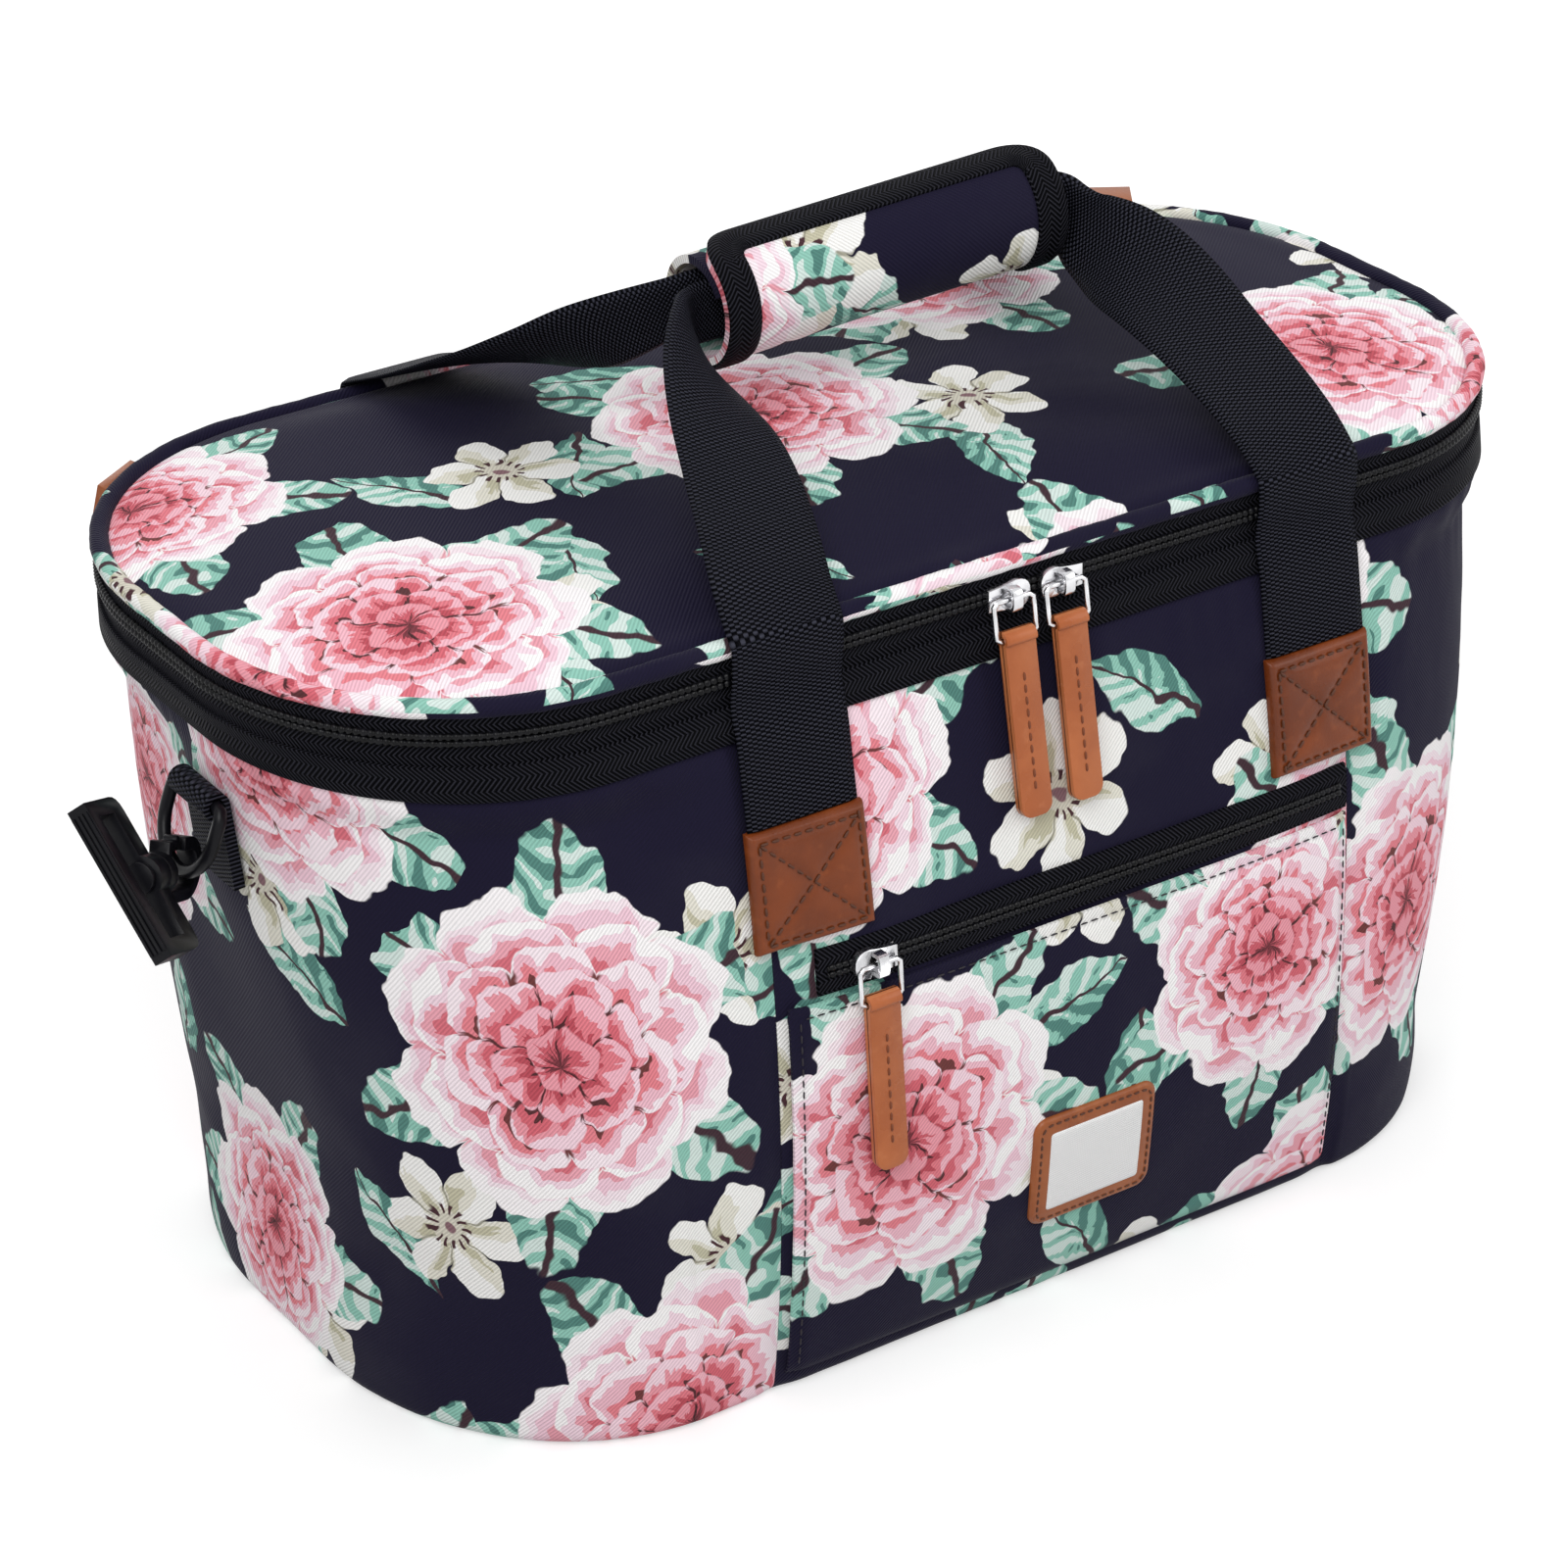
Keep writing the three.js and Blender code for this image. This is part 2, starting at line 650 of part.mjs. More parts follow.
// Stations of half a handle, from one foot up the wall, round the piping and into the grip
function strapRoute(where, face, hand) {
  const half = strapThickness / 2;
  const edge = topDepth / 2;
  const foot = strapFeet[hand];
  const inward = Math.sign(gripX - foot);
  const gripEnd = gripX - (inward * gripLength) / 2;
  const lead = gripEnd - inward * gripLead;
  const inGrip = gripEnd + inward * gripHold;
  const bend = pipingRadius + 2 * clearance + half;
  const onWall = (z, out) => wallPoint(foot, z, out + half, face);
  const roundPiping = (turn) => [foot, face * (edge - pipingInset + bend * Math.cos(radians(turn))),
    pipingHeight + bend * Math.sin(radians(turn))];
  const bandOut = bandProud + 2 * clearance;
  const flat = [
    onWall(patchTop + clearance, clearance),
    onWall(lerp(patchTop, bandBottom, 0.5), 2 * clearance),
    onWall(bandBottom, bandOut),
    onWall(bandTop, bandOut),
    onWall(lerp(bandTop, pipingHeight, 0.6), pipingRadius - pipingInset + 2 * clearance),
    ...pipingWrap[where].map(roundPiping),
  ];
  const turned = (direction) => [inward * direction[0], ...direction.slice(1)];
  return [
    ...flat.map((at) => ({ at, edge: turned([-1, 0, 0]), fold: 0 })),
    ...freeRuns[where].map(({ along, reach, climb, edge: direction, fold }) => ({
      at: [lerp(foot, lead, along), face * reach * edge, lerp(pipingHeight, gripHeight, climb)],
      edge: turned(direction), fold })),
    ...[lead, inGrip].map((x) => (
      { at: [x, face * foldedStrapY, gripLine(x)], edge: [0, 0, 1], fold: 1 })),
  ];
}

function handleStrap(where, face) {
  const stops = [...strapRoute(where, face, 'left'), ...strapRoute(where, face, 'right').toReversed()];
  const curve = (points, kind) => new THREE.CatmullRomCurve3(points, false, kind);
  const centre = curve(stops.map((s) => new THREE.Vector3(...s.at)), 'centripetal');
  const edges = curve(stops.map((s) => new THREE.Vector3(...s.edge)));
  const folds = curve(stops.map((s) => new THREE.Vector3(s.fold, 0, 0)));
  const steps = 2 * (stops.length - 1);
  const at = (u, v, side) => {
    const run = centre.getTangent(u);
    const edge = edges.getPoint(u);
    edge.addScaledVector(run, -edge.dot(run)).normalize();
    const fold = THREE.MathUtils.clamp(folds.getPoint(u).x, 0, 1);
    const out = run.clone().cross(edge);
    const width = lerp(strapWidth, foldedStrapWidth, fold);
    const thick = lerp(strapThickness, foldedStrapThickness, fold);
    const point = centre.getPoint(u).addScaledVector(edge, (v - 0.5) * width);
    return point.addScaledVector(out, (side ? -0.5 : 0.5) * thick).toArray();
  };
  return sheetSolid(steps, 1, at);
}

// The wrap is one sheet rolled round both straps, and its bound edge lies along the top
const gripPitch = (gripSheet + clearance) / 360;

function gripRadius(angle) {
  return gripBore + gripPitch * (gripStartAngle - angle);
}

function gripPoint(x, angle, radius) {
  const turn = radians(angle);
  return [gripX + x, radius * Math.cos(turn), gripLine(gripX + x) + radius * Math.sin(turn)];
}

function addHandles() {
  addPart('front_strap', 'webbing', handleStrap('front', -1));
  addPart('back_strap', 'webbing', handleStrap('back', 1));
  const wrap = sheetSolid(36, 1, (u, v, side) => {
    const angle = lerp(gripStartAngle, gripEndAngle, u);
    return gripPoint((v - 0.5) * gripLength, angle, gripRadius(angle) + (side ? 0 : gripSheet));
  });
  addPart('grip_wrap', 'print', wrap);
  // The binding runs up one end of the flap, along its top edge and down the other end
  const flat = gripBore + gripSheet;
  const reach = radians(bindingLowAngle - gripEndAngle) * flat;
  const top = gripLength / 2;
  const line = (inset) => [[-top + inset, -reach], [-top + inset, -2 * bindingWidth], [-top + inset, -inset],
    [-top + 2 * bindingWidth, -inset], [0, -inset], [top - 2 * bindingWidth, -inset],
    [top - inset, -inset], [top - inset, -2 * bindingWidth], [top - inset, -reach]];
  const outer = line(0);
  const inner = line(bindingWidth);
  const binding = sheetSolid(6 * (outer.length - 1), 4, (u, v, side) => {
    const place = u * (outer.length - 1);
    const i = Math.min(Math.floor(place), outer.length - 2);
    const [x, along] = [0, 1].map((k) => lerp(lerp(outer[i][k], outer[i + 1][k], place - i),
      lerp(inner[i][k], inner[i + 1][k], place - i), v));
    const angle = gripEndAngle - THREE.MathUtils.radToDeg(along / flat);
    const radius = gripRadius(angle) + gripSheet + clearance + (side ? 0 : bindingThickness);
    return gripPoint(x, angle, radius);
  });
  addPart('grip_binding', 'webbing', binding);
}

// A slider body that rides on the chain's outer side, with an arch for the pull ring. Its origin is
// on the chain's outer face, X runs along the chain, -Y points out of the bag, and the broad end
// is towards nose.
function sliderBody(nose) {
  const long = (nose * sliderLength) / 2;
  const wide = sliderWidth / 2;
  const outline = new THREE.Shape();
  outline.moveTo(-long, -wide * 0.72);
  outline.quadraticCurveTo(-long * 0.2, -wide * 0.8, long * 0.3, -wide);
  outline.quadraticCurveTo(long, -wide, long, 0);
  outline.quadraticCurveTo(long, wide, long * 0.3, wide);
  outline.quadraticCurveTo(-long * 0.2, wide * 0.8, -long, wide * 0.72);
  const plateCut = { depth: sliderPlate, bevelEnabled: false, curveSegments: 5 };
  const plate = new THREE.ExtrudeGeometry(outline, plateCut);
  plate.rotateX(Math.PI / 2);
  plate.translate(0, -clearance, 0);
  const lip = new THREE.BoxGeometry(sliderLength * 0.8, coilProud + sliderPlate / 2, sliderWall);
  lip.translate(0, (coilProud - sliderPlate / 2) / 2 - clearance, -coilHeight - clearance - sliderWall / 2);
  const arch = new THREE.Shape();
  const out = sliderPlate + archReach;
  arch.moveTo(wide * 0.8, 0.5);
  arch.lineTo(wide * 0.8, out - 2);
  arch.quadraticCurveTo(wide * 0.8, out, 0, out);
  arch.quadraticCurveTo(-wide * 0.8, out, -wide * 0.8, out - 2);
  arch.lineTo(-wide * 0.8, 0.5);
  const hole = new THREE.Path();
  const inside = wide * 0.8 - archBar;
  hole.moveTo(-inside, sliderPlate);
  hole.lineTo(-inside, out - archBar - 1);
  hole.quadraticCurveTo(-inside, out - archBar, 0, out - archBar);
  hole.quadraticCurveTo(inside, out - archBar, inside, out - archBar - 1);
  hole.lineTo(inside, sliderPlate);
  arch.holes.push(hole);
  const bridge = new THREE.ExtrudeGeometry(arch, { depth: archWidth, bevelEnabled: false, curveSegments: 4 });
  bridge.translate(0, 0, -archWidth / 2);
  bridge.rotateY(Math.PI / 2);
  bridge.rotateX(Math.PI);
  bridge.translate(0, -clearance, 0);
  return join(plate, lip, bridge);
}

// Leather folded round the ring's lower wire: its side profile cut to a rounded tip
function leatherPull() {
  const half = pullThickness / 2;
  const eye = ringWire + ringPlay;
  const side = new THREE.Shape();
  side.moveTo(-half, -pullLength);
  side.lineTo(half, -pullLength);
  side.lineTo(half, -eye);
  side.quadraticCurveTo(eye + leather * 0.9, -eye, eye + leather * 0.9, 0);
  side.absarc(0, 0, eye + leather * 0.9, 0, Math.PI, false);
  side.quadraticCurveTo(-eye - leather * 0.9, -eye, -half, -eye);
  const bore = new THREE.Path();
  bore.absarc(0, 0, eye, 0, 2 * Math.PI, true);
  side.holes.push(bore);
  const strip = new THREE.ExtrudeGeometry(side, { depth: pullWidth, bevelEnabled: false, curveSegments: 8 });
  strip.translate(0, 0, -pullWidth / 2);
  strip.rotateY(Math.PI / 2);
  strip.rotateX(Math.PI / 2);
  const front = roundedOutline(pullWidth, 2 * pullLength, pullWidth / 3);
  const blankCut = { depth: 4 * pullThickness, bevelEnabled: false, curveSegments: 4 };
  const blank = new THREE.ExtrudeGeometry(front, blankCut);
  blank.rotateX(Math.PI / 2);
  blank.translate(0, 2 * pullThickness, pullLength);
  return meet(strip, blank);
}

function addSlider(name, x, z, out, nose, tilt) {
  const above = wallPoint(x, z + coilHeight, out);
  const below = wallPoint(x, z - coilHeight, out);
  const seat = new THREE.Group();
  seat.position.set(...wallPoint(x, z, out));
  seat.rotation.x = Math.atan2(below[1] - above[1], 2 * coilHeight);
  model.add(seat);
  addPart(`${name}_slider`, 'chrome', sliderBody(nose), seat);
  const hang = new THREE.Group();
  hang.position.y = -clearance - sliderPlate - (archReach - archBar) / 2;
  hang.rotation.x = -radians(tilt) - seat.rotation.x;
  seat.add(hang);
  const ringWidth = pullWidth + 2 * (ringCorner + ringPlay);
  const ring = wireLoop(roundedOutline(ringWidth, ringTall, ringCorner), ringWire, 26, 6);
  addPart(`${name}_ring`, 'chrome', ring, hang);
  const pull = leatherPull();
  pull.translate(0, 0, -ringTall);
  addPart(`${name}_pull`, 'tan', pull, hang);
}

function addSliders() {
  addSlider('left', sliderLeftX, zipHeight, coilProud, 1, pullTilt);
  addSlider('right', sliderRightX, zipHeight, coilProud, -1, pullTilt);
  const pocketProud = clearance + tapeThickness + coilProud;
  addSlider('pocket', pocketSliderX, pocketZipHeight, pocketProud, -1, pocketPullTilt);
}

// Webbing folded round the straight bar of a ring and sewn flat to the wall below it. Local X
// points out of the bag and Z up the wall, and the bar's axis is Y.
const barBore = dRingWire + runningGap;
const tabLoop = barBore + tabWebbing;
const barOut = clearance + tabLoop;
const dRingWidth = tabWidth + 2 * (dRingCorner + clearance);

function sideTab() {
  const flat = clearance + 2 * tabWebbing;
  const meet = Math.acos((flat - barOut) / tabLoop);
  const outline = new THREE.Shape();
  outline.moveTo(clearance, -tabDrop);
  outline.lineTo(flat, -tabDrop);
  outline.lineTo(flat, -tabLoop * Math.sin(meet));
  outline.absarc(barOut, 0, tabLoop, -meet, Math.PI, false);
  const bore = new THREE.Path();
  bore.absarc(barOut, 0, barBore, 0, 2 * Math.PI, true);
  outline.holes.push(bore);
  const tab = new THREE.ExtrudeGeometry(outline, { depth: tabWidth, bevelEnabled: false, curveSegments: 10 });
  tab.rotateX(Math.PI / 2);
  tab.translate(0, tabWidth / 2, 0);
  return tab;
}

function dRing() {
  const half = dRingWidth / 2;
  const shape = new THREE.Shape();
  shape.moveTo(-half + dRingCorner, 0);
  shape.lineTo(half - dRingCorner, 0);
  shape.absarc(half - dRingCorner, -dRingCorner, dRingCorner, Math.PI / 2, 0, true);
  shape.lineTo(half, -dRingCorner - dRingLeg);
  shape.absarc(0, -dRingCorner - dRingLeg, half, 0, -Math.PI, true);
  shape.lineTo(-half, -dRingCorner);
  shape.absarc(-half + dRingCorner, -dRingCorner, dRingCorner, Math.PI, Math.PI / 2, true);
  const ring = wireLoop(shape, dRingWire, 32);
  ring.rotateZ(Math.PI / 2);
  return ring;
}

const dRingDrop = dRingCorner + dRingLeg + dRingWidth / 2;
const clawOuter = clawRadius + clawWall;

// The claw in its own plane: X runs from the claw to the strap frame, Z across the mouth
function hookBody() {
  const bendX = -clawLength;
  const claw = new THREE.Shape();
  claw.moveTo(0, -clawOuter);
  claw.lineTo(0, clawOuter);
  claw.lineTo(-shoulder, clawOuter);
  claw.lineTo(-shoulder, -clawRadius);
  claw.lineTo(bendX, -clawRadius);
  claw.absarc(bendX, 0, clawRadius, -Math.PI / 2, -1.5 * Math.PI, true);
  claw.lineTo(bendX + clawTip, clawRadius);
  claw.lineTo(bendX + clawTip, clawOuter);
  claw.lineTo(bendX, clawOuter);
  claw.absarc(bendX, 0, clawOuter, Math.PI / 2, 1.5 * Math.PI, false);
  const clawCut = { depth: hookThickness, bevelEnabled: false, curveSegments: 10 };
  const plate = new THREE.ExtrudeGeometry(claw, clawCut);
  plate.rotateX(Math.PI / 2);
  plate.translate(0, hookThickness / 2, 0);
  const collar = rod(collarRadius, collarLength, 'x', 20);
  collar.translate(collarLength / 2 - 0.5, 0, 0);
  const studLength = frameHeight + 2 * runningGap + studHead;
  const stud = rod(studRadius, studLength, 'x');
  stud.translate(collarLength - 0.5 + studLength / 2 - 0.2, 0, 0);
  const head = rod(studHeadRadius, studHead, 'x', 20);
  head.translate(collarLength - 0.5 + frameHeight + 2 * runningGap + studHead / 2, 0, 0);
  return join(plate, collar, stud, head);
}

// The gate closes the mouth between the shoulder and the claw's tip; its origin is on its pivot
const gateWidth = hookThickness * 0.7;

function hookGate() {
  const length = clawLength - clawTip - shoulder - 2 * runningGap - gateThickness / 2;
  const knuckle = rod(gateThickness / 2, gateWidth, 'y', 12);
  const bar = new THREE.BoxGeometry(length, gateWidth, gateThickness);
  bar.translate(-length / 2, 0, 0);
  const thumb = rod(gateThumb, gateWidth, 'y', 12);
  thumb.translate(-length * 0.6, 0, gateThickness / 2);
  return join(bar, knuckle, thumb);
}

// The strap frame turns on the stud; its outer bar is ribbed along its length
function hookFrame() {
  const half = frameStrap / 2 + frameSide;
  const start = collarLength - 0.5 + runningGap;
  const reach = frameHeight + frameSlot + frameBar;
  const outline = new THREE.Shape();
  outline.moveTo(0, -half + frameSide);
  outline.quadraticCurveTo(0, -half, frameSide, -half);
  outline.lineTo(reach - ribDepth, -half);
  outline.lineTo(reach - ribDepth, half);
  outline.lineTo(frameSide, half);
  outline.quadraticCurveTo(0, half, 0, half - frameSide);
  const frameCut = { depth: frameBar, bevelEnabled: false, curveSegments: 4 };
  const plate = new THREE.ExtrudeGeometry(outline, frameCut);
  plate.translate(start, 0, -frameBar / 2);
  const boss = rod(collarRadius, frameHeight, 'x', 20);
  boss.translate(start + frameHeight / 2, 0, 0);
  const ribs = Array.from({ length: ribCount }, (_, k) => {
    const pitch = frameBar / ribCount;
    const rib = new THREE.BoxGeometry(2 * ribDepth, 2 * half - frameSide, pitch * 0.55);
    rib.translate(start + reach - ribDepth, 0, (k + 0.5) * pitch - frameBar / 2);
    return rib;
  });
  const slot = new THREE.BoxGeometry(frameSlot, frameStrap, 2 * collarRadius);
  slot.translate(start + frameHeight + frameSlot / 2, 0, 0);
  const bore = rod(studRadius + runningGap, 3 * frameHeight, 'x');
  bore.translate(start + frameHeight / 2, 0, 0);
  return cut(join(plate, boss, ...ribs), slot, bore);
}

// Hardware of one end: local X points out of the bag
function addHardware(hand, side) {
  const plan = planAt(tabHeight);
  const end = new THREE.Group();
  end.position.set(side * (plan.flat + plan.cornerX), side * tabAside, tabHeight);
  end.rotation.z = side < 0 ? Math.PI : 0;
  model.add(end);
  const wall = new THREE.Group();
  wall.rotation.y = Math.atan2((topLength - baseLength) / 2, bandTop);
  end.add(wall);
  addPart(`side_tab_${hand}`, 'webbing', sideTab(), wall);
  const hang = new THREE.Group();
  hang.position.x = barOut;
  hang.rotation.y = -radians(dRingTilt);
  wall.add(hang);
  addPart(`d_ring_${hand}`, 'plastic', dRing(), hang);
  const level = new THREE.Group();
  level.position.z = -dRingDrop;
  level.rotation.y = radians(dRingTilt) - wall.rotation.y;
  hang.add(level);
  const aim = new THREE.Group();
  aim.rotation.order = 'ZYX';
  aim.rotation.z = -side * radians(hookTurn[hand]);
  aim.rotation.y = -radians(hookRise[hand]);
  level.add(aim);
  const hook = new THREE.Group();
  hook.position.x = clawLength - wireSeat;
  aim.add(hook);
  addPart(`hook_${hand}`, 'plastic', hookBody(), hook);
  const pivot = new THREE.Group();
  pivot.position.set(-shoulder - runningGap - gateThickness / 2, 0, clawRadius + clawWall / 2);
  hook.add(pivot);
  addPart(`hook_gate_${hand}`, 'plastic', hookGate(), pivot);
  const swivel = new THREE.Group();
  swivel.rotation.x = -side * radians(frameTurn[hand]);
  hook.add(swivel);
  addPart(`hook_frame_${hand}`, 'plastic', hookFrame(), swivel);
}

const floor = addBase();
addWalls(floor);
addRim();
addLid();
addPocket();
addStrapEnds();
addHandles();
addSliders();
addHardware('left', -1);
addHardware('right', 1);

export default model;
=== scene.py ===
import math
import bmesh
import bpy
import numpy as np
from mathutils import Matrix, Vector


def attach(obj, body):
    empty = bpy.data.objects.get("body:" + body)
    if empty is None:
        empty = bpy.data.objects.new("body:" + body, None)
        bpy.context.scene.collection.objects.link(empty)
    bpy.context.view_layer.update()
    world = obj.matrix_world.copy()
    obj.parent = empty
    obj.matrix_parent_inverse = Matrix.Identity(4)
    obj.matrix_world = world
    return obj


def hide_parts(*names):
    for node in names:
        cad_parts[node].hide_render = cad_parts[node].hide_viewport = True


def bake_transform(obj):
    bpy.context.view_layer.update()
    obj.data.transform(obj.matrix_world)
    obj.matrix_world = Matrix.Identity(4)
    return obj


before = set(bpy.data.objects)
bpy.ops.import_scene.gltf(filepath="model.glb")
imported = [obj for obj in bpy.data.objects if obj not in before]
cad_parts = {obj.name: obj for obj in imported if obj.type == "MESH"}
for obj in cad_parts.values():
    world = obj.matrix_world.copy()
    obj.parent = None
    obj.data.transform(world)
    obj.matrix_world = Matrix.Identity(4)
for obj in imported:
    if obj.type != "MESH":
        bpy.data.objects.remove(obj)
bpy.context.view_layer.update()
scene = bpy.context.scene
fullTurn = 2 * math.pi

# the photograph's view: a long lens from the front left, above the lid
view = dict(place=(-0.738, -1.118, 0.855), aim=(-0.012, 0.0, 0.135), roll=-1.2, lens=108.1, sensor=36.0,
            clip=(0.01, 50))


def addObject(name, data):
    # new object at the origin, linked to the scene
    item = bpy.data.objects.new(name, data)
    scene.collection.objects.link(item)
    return item


def lookAlong(place, aim):
    # turn that points a camera or lamp from place to aim
    return (Vector(aim) - Vector(place)).to_track_quat("-Z", "Y")


def makeCamera():
    # looks from place to aim, then rolls about its own axis
    data = bpy.data.cameras.new("viewCamera")
    data.lens = view["lens"]
    data.sensor_width = view["sensor"]
    data.sensor_fit = "HORIZONTAL"
    data.clip_start, data.clip_end = view["clip"]
    look = lookAlong(view["place"], view["aim"]).to_matrix().to_4x4()
    roll = Matrix.Rotation(math.radians(view["roll"]), 4, "Z")
    scene.camera = addObject("viewCamera", data)
    scene.camera.matrix_world = Matrix.Translation(Vector(view["place"])) @ look @ roll


makeCamera()
print("camera placed")

# sizes of the bag in metres, as in the solid model
bag = dict(topLength=0.450, topDepth=0.222, baseLength=0.406, baseDepth=0.238, topCorner=(0.084, 0.092),
           baseCorner=(0.082, 0.096), belly=0.014, bandBottom=0.227, bandTop=0.2375, zipHeight=0.246,
           pipingHeight=0.2552, pipingInset=0.0012, pipingRadius=0.003, dome=0.012, shift=0.011,
           seamReach=0.108, zipEnd=0.187, cloth=0.0012, linerInset=0.0088, floor=0.0106, seamPull=0.003,
           pullStart=0.045)
seams = (bag["shift"] - bag["seamReach"], bag["shift"] + bag["seamReach"])
# shares of a quarter turn round the plan: where the corner starts and ends, and how long both runs are
lap = dict(corner=0.3, cornerRun=0.6, end=0.9, endRun=0.1)
towardsFront = np.array([0.0, -1.0, 0.0])


def planAt(z):
    # half plan at a height: straight runs and elliptical corners, blended from the base to the band's top
    k = np.clip(np.asarray(z, float) / bag["bandTop"], 0, 1)
    base = (bag["baseLength"] / 2, bag["baseDepth"] / 2, *bag["baseCorner"])
    top = (bag["topLength"] / 2, bag["topDepth"] / 2, *bag["topCorner"])
    halfLength, halfDepth, cornerX, cornerY = (low + (high - low) * k for low, high in zip(base, top))
    halfDepth = halfDepth + bag["belly"] * 4 * k * (1 - k)
    return halfLength - cornerX, halfDepth - cornerY, cornerX, cornerY


def seamDrop(z):
    # how far the seams draw the cloth in: nothing at the base and the band, most half way up
    return bag["seamPull"] * np.sin(np.pi * np.clip(z / bag["bandBottom"], 0, 1))


def wallPoint(x, z, out=0.0, face=-1):
    # point of the front or back wall at x and z, moved out of the cloth by out and in towards the seams
    flat, end, cornerX, cornerY = planAt(z)
    toSeam = (np.abs(x - bag["shift"]) - bag["pullStart"]) / (bag["seamReach"] - bag["pullStart"])
    out = out - seamDrop(z) * np.clip(toSeam, 0, 1) ** 2
    past = np.maximum(np.abs(x) - flat, 0) / (cornerX + out)
    y = end + (cornerY + out) * np.sqrt(np.maximum(1 - past ** 2, 0))
    return np.stack(np.broadcast_arrays(x, face * y, z), -1).astype(float)


def ringPoint(turn, z, out=0.0):
    # point round the plan: turn runs 0 to 4 from the front middle through the right end
    flat, end, cornerX, cornerY = planAt(z)
    t = np.mod(turn, 4.0)
    quarter = np.floor(t)
    e = np.where(quarter % 2 == 1, 1 - (t - quarter), t - quarter)
    angle = np.clip((e - lap["corner"]) / lap["cornerRun"], 0, 1) * np.pi / 2
    past = np.clip((e - lap["end"]) / lap["endRun"], 0, 1)
    x = flat * np.minimum(e / lap["corner"], 1) + (cornerX + out) * np.sin(angle)
    y = end * (1 - past) + (cornerY + out) * np.cos(angle)
    x = x * np.where(quarter < 2, 1, -1)
    y = y * np.where((quarter == 1) | (quarter == 2), 1, -1)
    return np.stack(np.broadcast_arrays(x, y, z), -1).astype(float)


def unit(vectors):
    # vectors scaled to a length of one
    return vectors / np.linalg.norm(vectors, axis=-1, keepdims=True)


def arcLength(points):
    # running length along a row of points
    return np.append(0.0, np.cumsum(np.linalg.norm(np.diff(points, axis=0), axis=1)))


def evenTurns(first, last, count):
    # turns that stand at equal distances along the rim
    dense = np.linspace(first, last, 4000)
    run = arcLength(ringPoint(dense, bag["bandTop"]))
    return np.interp(np.linspace(0, run[-1], count), run, dense)


def wholeRim(count):
    # even turns once round, without the last, which is the first again
    return evenTurns(0, 4, count + 1)[:-1]


def roundAngles(sides):
    # angles of a closed round section
    return np.linspace(0, fullTurn, sides + 1)[:-1]


def wobble(a, b, seed, size):
    # soft unevenness: a few crossed sines of unlike wavelength, the longest the strongest
    rng = np.random.default_rng(seed)
    waves = (0.21, 0.13, 0.085, 0.055)
    spread = 2.2
    total = 0.0
    for wave in waves:
        angle, phase = rng.uniform(0, 2 * np.pi, 2)
        across = a * np.cos(angle) + b * np.sin(angle)
        total = total + wave / waves[0] * np.sin(across * 2 * np.pi / wave + phase)
    return size * total / spread


def addPiece(name, mesh, look, body, nodes):
    # smooth-shaded mesh in the finish of that name, riding on a body and standing for the named solids
    mesh.polygons.foreach_set("use_smooth", np.ones(len(mesh.polygons), bool))
    mesh.materials.clear()
    mesh.materials.append(finish[look])
    piece = addObject(name, mesh)
    if body:
        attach(piece, body)
    if nodes:
        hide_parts(*nodes)
    return piece


def addMesh(name, points, faces, loopUv, look, body, nodes=()):
    # mesh from points and faces, with a UV for every face corner and its faces turned outwards
    mesh = bpy.data.meshes.new(name)
    mesh.from_pydata(points.tolist(), [], faces)
    mesh.uv_layers.new(name="clothUv").data.foreach_set("uv", np.asarray(loopUv, np.float32).ravel())
    mesh.validate()
    bm = bmesh.new()
    bm.from_mesh(mesh)
    bmesh.ops.recalc_face_normals(bm, faces=bm.faces)
    bm.to_mesh(mesh)
    bm.free()
    return addPiece(name, mesh, look, body, nodes)


def gridFaces(spans, steps, sides, corners):
    # faces of a grid that is closed across its sides, and the row and column that each one starts from
    i, j = np.meshgrid(np.arange(spans), np.arange(sides), indexing="ij")
    faces = np.stack([((i + a) % steps) * sides + (j + b) % sides for a, b in corners], -1)
    return faces.reshape(-1, 4), i, j


def sweepPiece(name, loops, along, around, look, body, nodes=(), joined=False, sharp=None):
    # closed sections carried along a path: loops[path, section]; open paths are capped across the section
    steps, sides = loops.shape[:2]
    corners = [(0, 0), (1, 0), (1, 1), (0, 1)]
    faces, i, j = gridFaces(steps if joined else steps - 1, steps, sides, corners)
    u = np.stack([along[i + a] for a, b in corners], -1)
    v = np.stack([around[j + b] for a, b in corners], -1)
    uv = np.stack([u, v], -1).reshape(-1, 2)
    faceList = faces.tolist()
    k = np.arange(sides // 2 - 1)
    cap = np.stack([k, k + 1, sides - 2 - k, sides - 1 - k], -1)
    for row in () if joined else (0, steps - 1):
        faceList += (cap + row * sides).tolist()
        capUv = np.stack([np.full(cap.shape, along[row]), around[cap]], -1)
        uv = np.concatenate([uv, capUv.reshape(-1, 2)])
    piece = addMesh(name, loops.reshape(-1, 3), faceList, uv, look, body, nodes)
    if sharp:
        piece.data.set_sharp_from_angle(angle=sharp)
    return piece


def slabPiece(name, outer, inner, along, across, look, body, nodes):
    # two faces of a sheet, [path, width], closed along both edges
    loops = np.concatenate([outer, inner[:, ::-1]], 1)
    around = np.concatenate([across, across[::-1], across[:1]])
    return sweepPiece(name, loops, along, around, look, body, nodes, sharp=1.0)


def wallSheet(name, x, z, out, back, look, nodes, face=-1, cut=(0, 0)):
    # sheet between two distances out of the front or back wall; its uv is its middle x and z, moved by cut
    along, across = x[:, x.shape[1] // 2] + cut[0], z[len(z) // 2] + cut[1]
    outer, inner = wallPoint(x, z, out, face), wallPoint(x, z, back, face)
    slabPiece(name, outer, inner, along, across, look, "bag", nodes)


